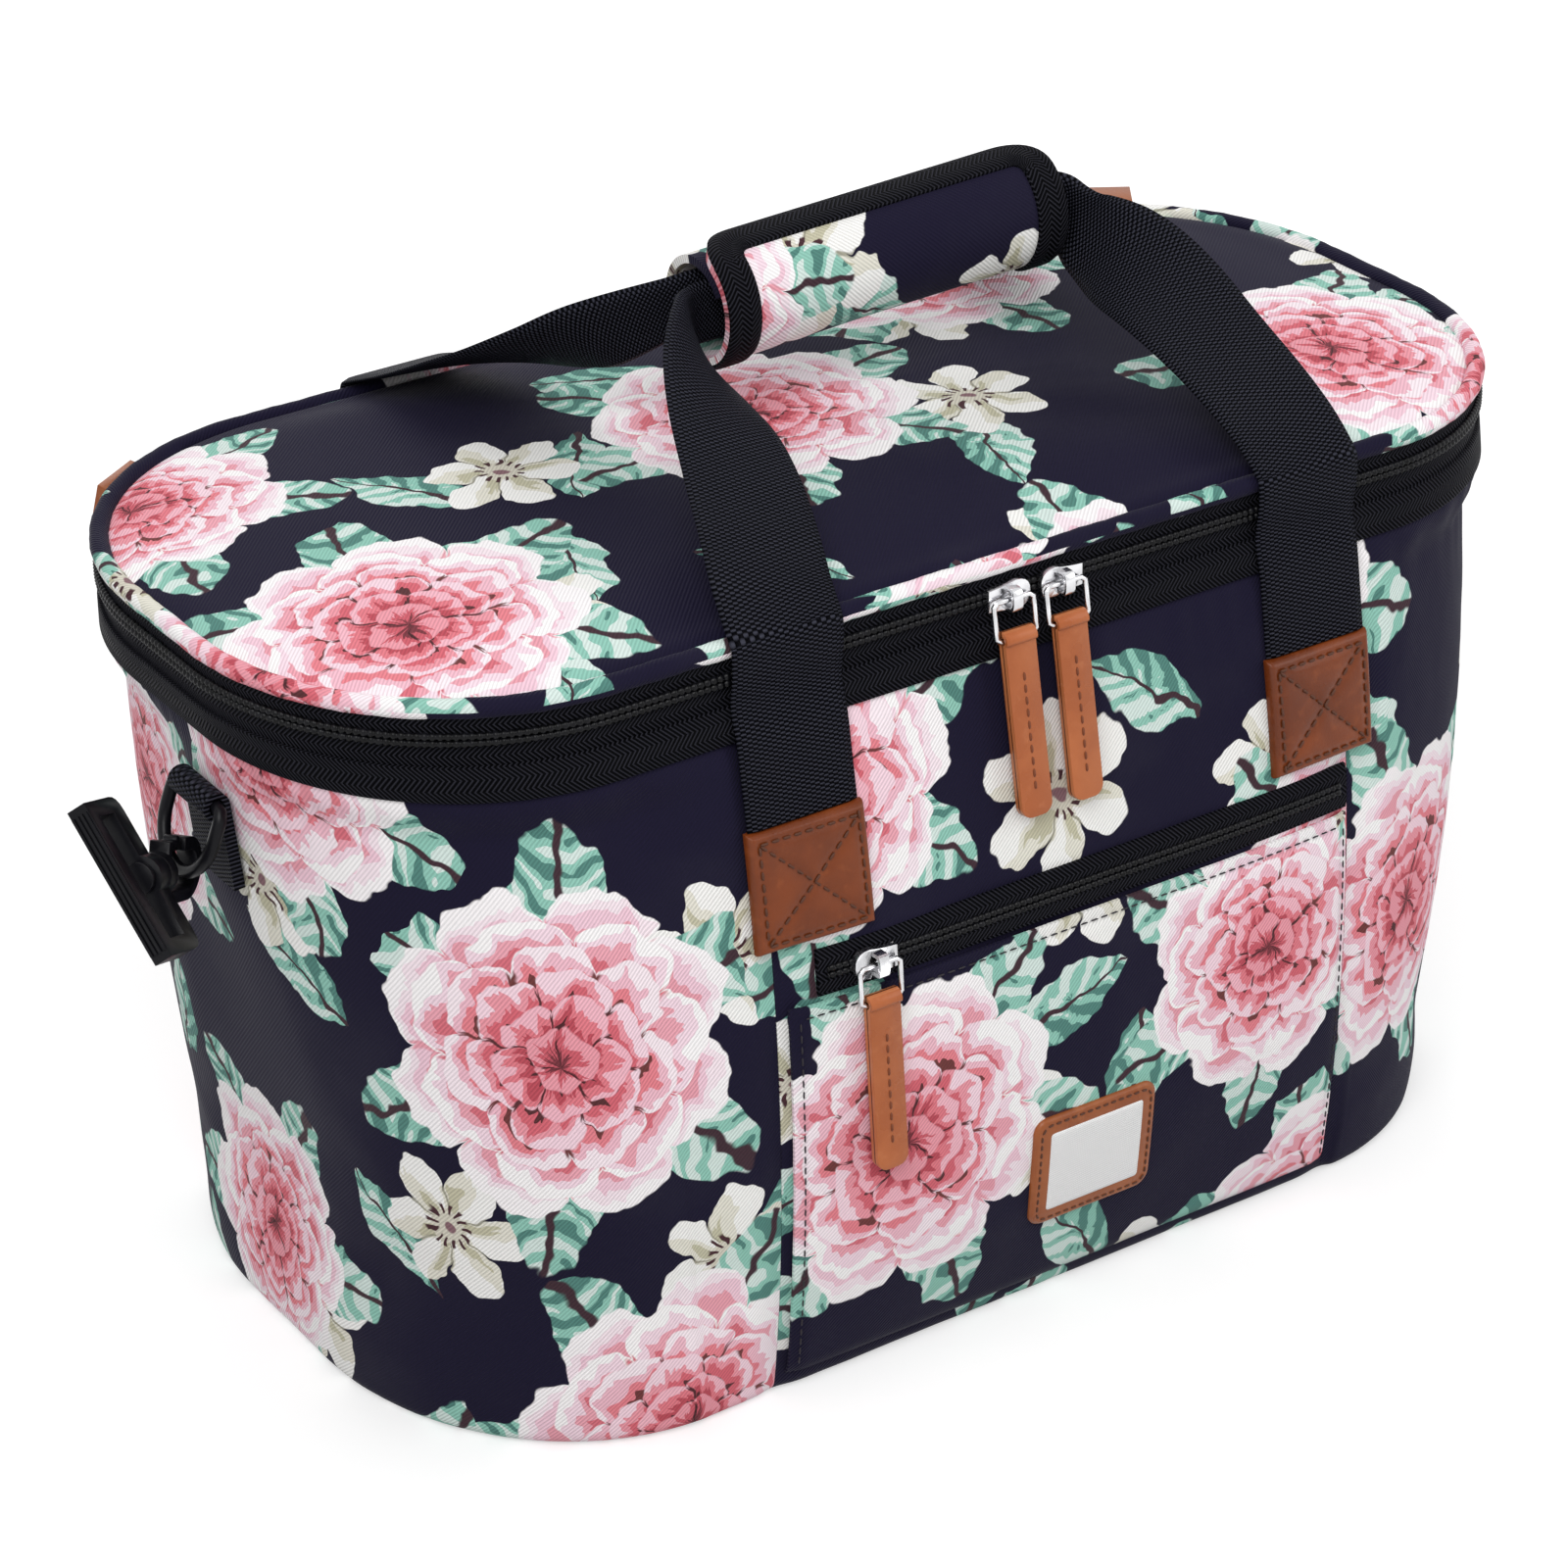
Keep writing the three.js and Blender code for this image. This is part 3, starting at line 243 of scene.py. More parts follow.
def stackPiece(name, rings, uv, look, body, nodes):
    # rings of equal count skinned one to the next, with a fan at each end
    count, sides = rings.shape[:2]
    faces = gridFaces(count - 1, count, sides, [(0, 0), (0, 1), (1, 1), (1, 0)])[0]
    points = np.concatenate([rings.reshape(-1, 3), rings[[0, -1]].mean(1)])
    pointUv = np.concatenate([uv.reshape(-1, 2), uv[[0, -1]].mean(1)])
    k = np.arange(sides)
    fans = []
    for row, centre in ((0, count * sides), (count - 1, count * sides + 1)):
        fans.append(np.stack([np.full(sides, centre), row * sides + (k + 1) % sides, row * sides + k], -1))
    fans = np.concatenate(fans)
    loopUv = np.concatenate([pointUv[faces.ravel()], pointUv[fans.ravel()]])
    return addMesh(name, points, faces.tolist() + fans.tolist(), loopUv, look, body, nodes)


def hexColour(code):
    # display colour to the linear values that a shader takes
    value = np.array([int(code[k:k + 2], 16) for k in (1, 3, 5)]) / 255
    linear = np.where(value <= 0.04045, value / 12.92, ((value + 0.055) / 1.055) ** 2.4)
    return (*linear, 1.0)


class Wire:
    # a value inside a shader that takes part in formulas as a number does
    def __init__(self, pen, socket):
        self.pen = pen
        self.socket = socket

    def __add__(self, other):
        return self.pen.maths("ADD", self, other)

    def __sub__(self, other):
        return self.pen.maths("SUBTRACT", self, other)

    def __mul__(self, other):
        return self.pen.maths("MULTIPLY", self, other)

    def __truediv__(self, other):
        return self.pen.maths("DIVIDE", self, other)

    def __pow__(self, other):
        return self.pen.maths("POWER", self, other)

    def __abs__(self):
        return self.pen.maths("ABSOLUTE", self)


class NodePen:
    # writes the nodes of a material or the world: numbers, display colours or wires go in and wires come out
    def __init__(self, owner):
        owner.use_nodes = True
        self.owner = owner
        self.tree = owner.node_tree

    def plug(self, socket, value):
        if isinstance(value, Wire):
            self.tree.links.new(value.socket, socket)
        else:
            socket.default_value = hexColour(value) if isinstance(value, str) else value

    def outputs(self, kind, inputs=None, **settings):
        # a new node's outputs
        node = self.tree.nodes.new(kind)
        for key, value in settings.items():
            setattr(node, key, value)
        for key, value in (inputs or {}).items():
            self.plug(node.inputs[key], value)
        return [Wire(self, socket) for socket in node.outputs]

    def put(self, kind, inputs=None, out=0, **settings):
        return self.outputs(kind, inputs, **settings)[out]

    def maths(self, operation, a, b=0.0):
        return self.put("ShaderNodeMath", {0: a, 1: b}, operation=operation)

    def sine(self, angle):
        return self.maths("SINE", angle)

    def cosine(self, angle):
        return self.maths("COSINE", angle)

    def vector(self, operation, a, b=(0, 0, 0), out=0):
        return self.put("ShaderNodeVectorMath", {0: a, 1: b}, out, operation=operation)

    def parts(self, vector):
        return self.outputs("ShaderNodeSeparateXYZ", {0: vector})

    def rise(self, value, low, high):
        # 0 at low, 1 at high, smooth between
        return self.put("ShaderNodeMapRange", {"Value": value, "From Min": low, "From Max": high},
                        interpolation_type="SMOOTHSTEP")

    def span(self, value, first, last):
        # the middle of a noise, spread from first to last
        return self.put("ShaderNodeMapRange", {"Value": value, "From Min": 0.3, "From Max": 0.7,
                                               "To Min": first, "To Max": last})

    def blend(self, amount, under, over):
        return self.put("ShaderNodeMix", {0: amount, 6: under, 7: over}, 2, data_type="RGBA")

    def bands(self, value, stops):
        # flat colours, each from its own position up to the next
        colour = self.put("ShaderNodeValToRGB", {0: value})
        ramp = colour.socket.node.color_ramp
        ramp.interpolation = "CONSTANT"
        ramp.elements.remove(ramp.elements[1])
        for at, code in stops:
            element = ramp.elements.new(at) if at else ramp.elements[0]
            element.color = hexColour(code)
        return colour

    def uv(self):
        return self.put("ShaderNodeUVMap", uv_map="clothUv")

    def place(self):
        return self.put("ShaderNodeTexCoord", out=3)

    def noise(self, vector, scale, detail=2.0, rough=0.5, out=0):
        return self.put("ShaderNodeTexNoise", {"Vector": vector, "Scale": scale, "Detail": detail,
                                               "Roughness": rough}, out)

    def finish(self, colour, rough, height=None, depth=0.001, strength=1.0, **sockets):
        # colour, roughness and any other inputs of the shader, with bumps of the given depth
        inputs = self.tree.nodes["Principled BSDF"].inputs
        self.plug(inputs["Base Color"], colour)
        self.plug(inputs["Roughness"], rough)
        if height is not None:
            bump = self.put("ShaderNodeBump", {"Height": height, "Distance": depth, "Strength": strength})
            self.plug(inputs["Normal"], bump)
        for key, value in sockets.items():
            self.plug(inputs[key.replace("_", " ")], value)
        return self.owner


def materialPen(name):
    # pen for a new material
    return NodePen(bpy.data.materials.new(name))


# printed cloth: navy ground, twill weave with painted shade in its grooves, and how far the outlines are
# drawn unevenly; lengths in metres
cloth = dict(ground="#1e1b2f", rib="#46333a", twill=0.0011, grooveShade="#17161f", grooveShadeShare=0.20, drift=0.012,
             driftScale=70.0, worn=0.006, edge=0.02, strokeAlong=11.0, strokeShift=9.0, strokeScale=4.2)
leafTones = ((0, "#58887f"), (0.30, "#93c9b9"), (0.60, "#d8e8e2"))
# motifs: pitch, turn and jitter of the grid, size, and the share of the places left empty
leaf = dict(grid=(0.064, 31, 0.55), length=0.024, width=0.46, empty=0.42, veins=(15.0, -17.0), vein=0.24,
            lit=(0.75, 0.45), stroke=0.7, taper=0.016, ribWidth=(0.034, 0.022))
daisy = dict(grid=(0.084, 12, 0.5), radius=0.030, size=(0.25, 0.75), empty=0.5, petals=6, cut=0.5, tip=0.75,
             turned=0.30, shade=(-0.75, 0.75), stroke=0.8, cleft=0.8, dots=13.0, ring=0.25,
             tones=((0, "#f7f6f3"), (0.34, "#e6e3d6"), (0.62, "#c6c2a9")),
             cleftTone="#8e8b78", middle="#d8d3c4", dot="#4d3237", heart="#8b6a70")
bloom = dict(grid=(0.150, -24, 0.42), radius=0.056, size=(0.22, 0.84), lean=3.0, leaves=6, leafCut=0.62,
             leafTip=1.6, leafReach=1.36, veins=30.0, vein=0.24, leafStroke=(1.3, 0.5),
             ribWidth=(0.9965, 0.9990), turn=0.9, cut=0.20, heart=0.02, overlap=0.05, stroke=1.5, lobe=-0.25,
             lit=0.2, edge=0.012)
# rings of a bloom from the rim inwards: radius, petals, colours from the petal's rim to its shade
bloomRings = [(1.00, 8, ("#fdf9fa", "#fae9f0", "#f4cddb", "#eba3b0")),
              (0.84, 7, ("#fefbfb", "#f8dde8", "#efa9b6", "#da7480")),
              (0.68, 7, ("#fcedf3", "#f3bfcd", "#e98690", "#73403f")),
              (0.52, 6, ("#f9d9e4", "#ee9ca8", "#d96b77", "#5d3638")),
              (0.37, 5, ("#f5bac7", "#e57f8a", "#bf535f", "#532f32")),
              (0.22, 3, ("#ee9fab", "#cf626e", "#7d3c44", "#4a2a2d"))]
bandStarts = (0, 0.34, 0.62, 0.92)


def flowerCell(pen, uv, grid):
    # nearest centre of a jittered grid: distance, angle, three random shares, and strokes that run outwards
    pitch, turn, jitter = grid
    place = pen.put("ShaderNodeMapping", {"Vector": uv, "Rotation": (0, 0, math.radians(turn)),
                                          "Scale": (1 / pitch, 1 / pitch, 1)})
    nearest = pen.outputs("ShaderNodeTexVoronoi", {"Vector": place, "Scale": 1.0, "Randomness": jitter},
                          voronoi_dimensions="2D")
    offset = pen.vector("SUBTRACT", place, nearest[2])
    x, y = pen.parts(offset)[:2]
    shares = pen.outputs("ShaderNodeSeparateColor", {0: nearest[1]})
    distance = pen.vector("LENGTH", offset, out=1) * pitch
    angle = pen.maths("ARCTAN2", y, x) + shares[0] * fullTurn
    outwards = distance * cloth["strokeAlong"] + shares[1] * cloth["strokeShift"]
    ray = pen.put("ShaderNodeCombineXYZ", {0: pen.cosine(angle), 1: pen.sine(angle), 2: outwards})
    return distance, angle, shares, pen.noise(ray, cloth["strokeScale"], 2.0, 0.6) - 0.5


def petalEdge(pen, angle, petals, phase, depth, power=0.5):
    # scalloped outline: 1 at the middle of a petal, 1 - depth between two
    lobe = abs(pen.cosine(angle * (petals / 2) + phase))
    return lobe ** power * depth + (1 - depth), lobe


def paintLeaves(pen, uv, colour):
    # pointed ovals scattered at random turns, with a midrib and side veins
    distance, angle, shares, stroke = flowerCell(pen, uv, leaf["grid"])
    along = distance * pen.cosine(angle) / leaf["length"]
    aside = distance * pen.sine(angle) / leaf["length"]
    wide = abs(aside)
    inside = along * along * -leaf["width"] + leaf["width"] - wide
    some = pen.maths("GREATER_THAN", shares[1], leaf["empty"])
    vein = pen.sine(along * leaf["veins"][0] + wide * leaf["veins"][1])
    level = vein * leaf["vein"] + (aside * leaf["lit"][0] + leaf["lit"][1])
    tone = pen.bands(stroke * leaf["stroke"] + level, leafTones)
    tone = pen.blend(pen.rise(along * leaf["taper"] + wide, *leaf["ribWidth"]), tone, cloth["rib"])
    return pen.blend(pen.rise(inside, 0.0, cloth["edge"]) * some, colour, tone)


def paintDaisies(pen, uv, colour):
    # round white flowers, each petal half in shade, with a dotted middle
    distance, angle, shares, stroke = flowerCell(pen, uv, daisy["grid"])
    reach = distance / ((shares[2] * daisy["size"][0] + daisy["size"][1]) * daisy["radius"])
    edge, lobe = petalEdge(pen, angle, daisy["petals"], 0.0, daisy["cut"], daisy["tip"])
    some = pen.maths("GREATER_THAN", shares[1], daisy["empty"])
    turned = pen.sine(angle * daisy["petals"])
    shade = turned * daisy["turned"] + (reach * daisy["shade"][0] + daisy["shade"][1])
    tone = pen.bands(stroke * daisy["stroke"] + shade, daisy["tones"])
    tone = pen.blend(pen.rise(lobe, 0.16, 0.06) * daisy["cleft"], tone, daisy["cleftTone"])
    tone = pen.blend(pen.rise(reach, 0.26, 0.24), tone, daisy["middle"])
    dots = pen.rise(pen.sine(angle * daisy["dots"]), 0.2, 0.5)
    tone = pen.blend(pen.rise(abs(reach - daisy["ring"]), 0.08, 0.05) * dots, tone, daisy["dot"])
    tone = pen.blend(pen.rise(reach, 0.10, 0.07), tone, daisy["heart"])
    return pen.blend(pen.rise(edge - reach, 0.0, cloth["edge"]) * some, colour, tone)


def paintBlooms(pen, uv, colour):
    # large blooms: rings of scalloped petals, each in four flat colours from its rim to the next ring
    distance, angle, shares, stroke = flowerCell(pen, uv, bloom["grid"])
    reach = distance / ((shares[1] * bloom["size"][0] + bloom["size"][1]) * bloom["radius"])
    lean = shares[2] * bloom["lean"]
    leafEdge, leafLobe = petalEdge(pen, angle, bloom["leaves"], lean, bloom["leafCut"], bloom["leafTip"])
    vein = pen.sine(reach * bloom["veins"] + leafLobe * bloom["veins"])
    level = vein * bloom["vein"] + (stroke * bloom["leafStroke"][0] + bloom["leafStroke"][1])
    tone = pen.blend(pen.rise(leafLobe, *bloom["ribWidth"]), pen.bands(level, leafTones), cloth["rib"])
    colour = pen.blend(pen.rise(leafEdge * bloom["leafReach"] - reach, 0.0, cloth["edge"]), colour, tone)
    radii = [ring[0] for ring in bloomRings] + [bloom["heart"]]
    for k, (radius, petals, tones) in enumerate(bloomRings):
        edge, lobe = petalEdge(pen, angle, petals, bloom["turn"] * k, bloom["cut"])
        inside = edge * radius - reach
        depth = inside / (radius - radii[k + 1] + bloom["overlap"])
        level = stroke * bloom["stroke"] + (lobe * bloom["lobe"] + (depth + bloom["lit"]))
        tone = pen.bands(level, tuple(zip(bandStarts, tones)))
        fold = pen.rise(lobe, 0.13, 0.05) * pen.rise(depth, 0.05, 0.2)
        tone = pen.blend(fold, tone, tones[3])
        colour = pen.blend(pen.rise(inside, 0.0, bloom["edge"]), colour, tone)
    return colour


def printedTwill():
    # leaves, daisies and blooms painted over the ground, and the fine slanted ribs of a twill weave, with
    # painted shade darkening the grooves between them
    pen = materialPen("printedTwill")
    uv = pen.uv()
    drift = pen.vector("SUBTRACT", pen.noise(uv, cloth["driftScale"], out=1), (0.5, 0.5, 0.5))
    drawn = pen.vector("ADD", uv, pen.vector("MULTIPLY", drift, (cloth["drift"], cloth["drift"], 0.0)))
    colour = cloth["ground"]
    for paint in (paintLeaves, paintDaisies, paintBlooms):
        colour = paint(pen, drawn, colour)
    slanted = pen.put("ShaderNodeMapping", {"Vector": uv, "Rotation": (0, 0, math.radians(45))})
    weave = pen.put("ShaderNodeTexWave", {"Vector": slanted, "Scale": 1 / cloth["twill"] / 3.18}, 1)
    # painted shade: where the twill's bump is low, in its grooves, the colour is darkened
    colour = pen.blend(pen.rise(weave, 0.75, 0.1) * cloth["grooveShadeShare"], colour, cloth["grooveShade"])
    worn = pen.noise(uv, 18.0, 4.0)
    colour = pen.blend(pen.rise(worn, 0.5, 0.8) * cloth["worn"], colour, "#ffffff")
    return pen.finish(colour, 0.55, weave, 0.00025, 0.6, Specular_IOR_Level=0.02, Sheen_Weight=0.05,
                      Sheen_Roughness=0.4)


def ribbedWebbing():
    # heavy black webbing: short cross ribs that step half a pitch from one column of yarns to the next, with
    # painted highlights on the rib tops and painted shade in the gaps
    pen = materialPen("ribbedWebbing")
    uv = pen.uv()
    along, across = pen.parts(uv)[:2]
    ribPitch, yarnPitch = 0.0014, 0.0016
    column = pen.maths("FLOOR", across / yarnPitch) * 0.5
    rib = pen.sine((along / ribPitch + column) * fullTurn)
    height = abs(pen.sine(across * (math.pi / yarnPitch))) * 0.5 + rib
    # painted highlight and shade: the colour follows the rib height, lighter on the tops and near black in
    # the gaps
    tone = pen.blend(pen.rise(height, -0.3, 1.4), "#030306", "#3d3e49")
    tone = pen.blend(pen.rise(pen.noise(uv, 900.0, 3.0), 0.5, 0.8) * 0.1, tone, "#3b3b44")
    return pen.finish(tone, 0.45, height, 0.0006, 0.9, Specular_IOR_Level=0.02)


def bandTwill():
    # black herringbone tape: slanted ribs that turn back every few millimetres, painted lighter on their tops
    # and darker in the troughs as painted highlight and shade
    pen = materialPen("bandTwill")
    along, across = pen.parts(pen.uv())[:2]
    ribPitch, turnBack = 0.0016, 0.0035
    rib = pen.sine((along + pen.maths("PINGPONG", across, turnBack)) * (fullTurn / ribPitch))
    # painted highlight and shade: the colour follows the rib height
    tone = pen.blend(pen.rise(rib, -0.5, 1.0), "#040406", "#2b2b32")
    return pen.finish(tone, 0.5, rib, 0.0004, 0.8, Specular_IOR_Level=0.02)


def coilNylon():
    # glossy black zip coil
    pen = materialPen("coilNylon")
    tone = pen.blend(pen.rise(pen.noise(pen.place(), 400.0), 0.4, 0.7), "#08080a", "#141418")
    return pen.finish(tone, 0.28, Specular_IOR_Level=0.14)


def coatedLeather(name, base, dark, light, edgeHighlightAndLine=False):
    # smooth coated leather: fine pores and cloudy tone; folded pulls show the line between their two layers,
    # and a painted highlight lightens the band along their rounded edge
    pen = materialPen(name)
    place = pen.place()
    cloud = pen.noise(place, 60.0, 4.0)
    tone = pen.blend(pen.rise(cloud, 0.3, 0.75), dark, base)
    tone = pen.blend(pen.rise(pen.noise(place, 210.0, 3.0), 0.55, 0.8) * 0.4, tone, light)
    if edgeHighlightAndLine:
        layer = abs(pen.parts(pen.uv())[1])
        # painted highlight: the band along the pull's edge is lightened; the dark line below is the joint
        # between the two layers
        tone = pen.blend(pen.rise(layer, 0.0016, 0.0013) * 0.5, tone, light)
        tone = pen.blend(pen.rise(layer, 0.00035, 0.0002), tone, "#4a2412")
    pores = pen.put("ShaderNodeTexVoronoi", {"Vector": place, "Scale": 1300.0})
    return pen.finish(tone, pen.span(cloud, 0.24, 0.36), pores, 0.0002, 0.2, Specular_IOR_Level=0.26)


def threadCotton(name, code):
    # twisted sewing thread
    pen = materialPen(name)
    twist = pen.put("ShaderNodeTexWave", {"Vector": pen.place(), "Scale": 900.0}, 1)
    return pen.finish(pen.blend(twist * 0.4, code, "#2a1a12"), 0.7)


def brightMetal():
    # polished zinc with faint casting clouds
    pen = materialPen("brightMetal")
    cloud = pen.noise(pen.place(), 300.0, 3.0)
    return pen.finish(pen.blend(cloud, "#c9c9cc", "#e6e6e8"), pen.span(cloud, 0.14, 0.28), Metallic=1.0)


def mouldedPlastic():
    # black moulded plastic with a fine spark-eroded grain
    pen = materialPen("mouldedPlastic")
    tone = pen.blend(pen.noise(pen.place(), 90.0), "#08080b", "#131318")
    return pen.finish(tone, 0.32, pen.noise(pen.place(), 1800.0), 0.0001, 0.3, Specular_IOR_Level=0.14)


def coatedLining():
    # pale foil lining with soft creases, painted darker in their hollows as painted shade
    pen = materialPen("coatedLining")
    crease = pen.noise(pen.place(), 38.0, 5.0, 0.6)
    # painted shade: the colour darkens where the crease bump is low
    tone = pen.blend(pen.rise(crease, 0.35, 0.7), "#c4c7ca", "#d2d4d7")
    return pen.finish(tone, 0.34, crease, 0.003, 0.5, Metallic=0.25)


def wovenLabel():
    # plain woven square with a fine basket weave, the raised yarns painted lighter and the hollows darker as
    # painted highlight and shade
    pen = materialPen("wovenLabel")
    along, across = pen.parts(pen.uv())[:2]
    warp, weft = 0.0009, 0.0007
    weave = pen.sine(along * (fullTurn / warp)) * pen.sine(across * (fullTurn / weft))
    # painted highlight and shade: the colour follows the weave's height
    return pen.finish(pen.blend(pen.rise(weave, -0.6, 0.6), "#dcdcdd", "#f4f4f3"), 0.8, weave, 0.0002, 0.5)


finish = dict(cloth=printedTwill(), webbing=ribbedWebbing(), band=bandTwill(), coil=coilNylon(),
              patch=coatedLeather("patchLeather", "#7c3b18", "#662e11", "#914c25"),
              pull=coatedLeather("pullLeather", "#b76a3f", "#a65a31", "#c67d52", edgeHighlightAndLine=True),
              tan=coatedLeather("tanLeather", "#9c5931", "#8b4a26", "#ac693f"),
              thread=threadCotton("brownThread", "#54290f"), pullThread=threadCotton("rustThread", "#7c3c17"),
              darkThread=threadCotton("navyThread", "#15141f"), metal=brightMetal(), plastic=mouldedPlastic(),
              lining=coatedLining(), label=wovenLabel())
print("finishes mixed:", len(finish))

# where on the print each piece is cut, in metres; the walls move on by a step for every seed
cutAt = dict(longWall=(0.31, 0.17), endWall=(0.37, 0.23), base=2.1, lid=0.61, piping=0.45, grip=(3.32, 1.08),
             pocket=(0.83, 0.47))
# cloth simulation: the sheet is cut a little too large and lies on springy foam
settling = dict(frames=20, spare=-0.004, bend=20.0, stretch=40.0, foam=0.1, hold=5.0, gravity=0.1, mass=0.3,
                damping=2.0, uneven=0.0002, quality=5)


def settledCloth(name, points, outward, seed, most, joined=False):
    # coarse sheet [across, up] held along its edges and left to settle on the foam: how far each point moves
    # outward, as a share of the largest move, times most
    cols, rows = points.shape[:2]
    i, j = np.meshgrid(np.arange(cols if joined else cols - 1), np.arange(rows - 1), indexing="ij")
    here, there = i * rows + j, (i + 1) % cols * rows + j
    faces = np.stack([here, there, there + 1, here + 1], -1).reshape(-1, 4)
    noise = np.random.default_rng(seed).normal(0, settling["uneven"], (cols, rows, 1))
    mesh = bpy.data.meshes.new(name)
    mesh.from_pydata((points + outward * noise).reshape(-1, 3).tolist(), [], faces.tolist())
    sheet = addObject(name, mesh)
    held = np.zeros((cols, rows), bool)
    held[:, 0] = True
    if not joined:
        held[:, -1] = held[0] = held[-1] = True
    group = sheet.vertex_groups.new(name="held")
    group.add(np.flatnonzero(held).tolist(), 1.0, "REPLACE")
    group.add(np.flatnonzero(~held).tolist(), settling["foam"], "REPLACE")
    settle = sheet.modifiers.new("settle", "CLOTH")
    use = settle.settings
    use.quality = settling["quality"]
    use.mass = settling["mass"]
    use.vertex_group_mass = "held"
    use.pin_stiffness = settling["hold"]
    use.shrink_min = settling["spare"]
    use.air_damping = settling["damping"]
    use.tension_stiffness = use.compression_stiffness = settling["stretch"]
    use.bending_stiffness = settling["bend"]
    use.effector_weights.gravity = settling["gravity"]
    settle.collision_settings.use_collision = False
    settle.point_cache.frame_start, settle.point_cache.frame_end = 1, settling["frames"]
    for step in range(1, settling["frames"] + 1):
        scene.frame_set(step)
    moved = np.empty(cols * rows * 3)
    sheet.evaluated_get(bpy.context.evaluated_depsgraph_get()).data.vertices.foreach_get("co", moved)
    scene.frame_set(1)
    bpy.data.objects.remove(sheet)
    bpy.data.meshes.remove(mesh)
    move = np.sum((moved.reshape(points.shape) - points) * outward, -1)
    print(name, "settled by", round(float(np.abs(move).max()) * 1000, 2), "mm")
    return most * move / np.abs(move).max()


def splineShares(places, knots):
    # share of each evenly spaced knot at each place: the smooth bump of a cubic spline, two steps either way
    d = np.abs(places[:, None] - knots[None, :]) / abs(knots[1] - knots[0])
    bump = np.where(d < 1, 4 - 6 * d ** 2 + 3 * d ** 3, np.maximum(2 - d, 0) ** 3)
    return bump / bump.sum(1, keepdims=True)


def settledField(name, surface, spots, knots, fine, z, rows, seed, most):
    # a surface function's cloth, settled on a coarse grid of spots and read at the fine places between knots
    zs = np.linspace(z[0], z[-1], rows)
    where = (spots[:, None], zs[None, :])
    outward = unit(surface(*where, 0.001) - surface(*where, 0.0))
    move = settledCloth(name, surface(*where, 0.0), outward, seed, most)
    return splineShares(fine, knots) @ move @ splineShares(z, zs).T


# body walls: soft foam-backed cloth between the seams, with the counts of the fine and the coarse grids
wall = dict(soft=0.0015, pucker=0.0006, puckerPitch=0.0125, puckerDrift=0.071, puckerSway=2.2,
            puckerReach=0.011, seamDip=0.0014, seamReach=0.006, baseRound=0.0045, tuck=0.0006,
            tuckReach=0.007, neck=0.0058, neckReach=0.016, neckFoot=0.06, tabAside=0.020, tabReach=0.036,
            tabLow=0.185, tabFade=0.05, foot=0.0003, underBand=0.003, seamGap=0.0002, across=110, round=190,
            rows=90, coarseAcross=38, coarseRound=72, coarseRows=40)


def wallSoftness(s, z, edgeGap, settled):
    # the settled cloth, puckers that tuck in under the band, a dip along the seams, and a rounded foot
    below = np.maximum(bag["bandBottom"] - z, 0)
    tuck = np.clip(below / wall["tuckReach"], 0, 1)
    sway = wall["puckerSway"] * np.sin(2 * np.pi * s / wall["puckerDrift"])
    pucker = np.sin(2 * np.pi * s / wall["puckerPitch"] + sway)
    out = tuck * (settled + wall["pucker"] * np.exp(-below / wall["puckerReach"]) * pucker)
    out = out - wall["tuck"] * (1 - tuck)
    out = out - wall["seamDip"] * np.exp(-(edgeGap / wall["seamReach"]) ** 2)
    lift = np.clip(1 - z / wall["baseRound"], 0, 1)
    return out - wall["baseRound"] * (1 - np.sqrt(np.maximum(1 - lift ** 2, 0)))


def wallHeights():
    # rows of the wall, closer together at the foot and the band
    k = np.linspace(0, 1, wall["rows"])
    tall = bag["bandBottom"] + wall["underBand"] - wall["foot"]
    return (wall["foot"] + tall * (k - 0.08 * np.sin(2 * np.pi * k)))[None, :]


def wallPiece(name, surface, across, z, out, s, cut, seed, nodes):
    # cloth of a wall: its outer face and the face under it, on the print at its own cut
    outer = surface(across, z, out)
    inner = surface(across, z, out - bag["cloth"])
    u, v = cutAt[cut]
    return slabPiece(name, outer, inner, s + u * seed, z[0] + v * seed, "cloth", "bag", nodes)


def longWall(name, face, seed, nodes):
    # front or back: x across, z up
    x = np.linspace(seams[0] + wall["seamGap"], seams[1] - wall["seamGap"], wall["across"])[:, None]
    z = wallHeights()
    knots = np.linspace(x[0, 0], x[-1, 0], wall["coarseAcross"])
    surface = lambda a, b, out: wallPoint(a, b, out, face)
    settled = settledField(name, surface, knots, knots, x[:, 0], z[0], wall["coarseRows"], seed, wall["soft"])
    out = wallSoftness(x, z, np.minimum(x - seams[0], seams[1] - x), settled)
    return wallPiece(name, surface, x, z, out, x[:, 0] * -face, "longWall", seed, nodes)


def smoothStep(value):
    # 0 below 0, 1 above 1, smooth between
    k = np.clip(value, 0, 1)
    return k * k * (3 - 2 * k)


def endNeck(s, z, gap):
    # the corners draw in under the band, from the seams towards the tab, which holds the cloth out
    aside = (s - s[-1] / 2 - wall["tabAside"]) / wall["tabReach"]
    below = np.maximum(wall["tabLow"] - z, 0) / wall["tabFade"]
    tab = np.exp(-aside ** 2 - below ** 2)
    height = smoothStep((bag["bandBottom"] - z) / wall["neckReach"]) * smoothStep(z / wall["neckFoot"])
    return wall["neck"] * height * smoothStep(gap / bag["pullStart"]) * (1 - tab)


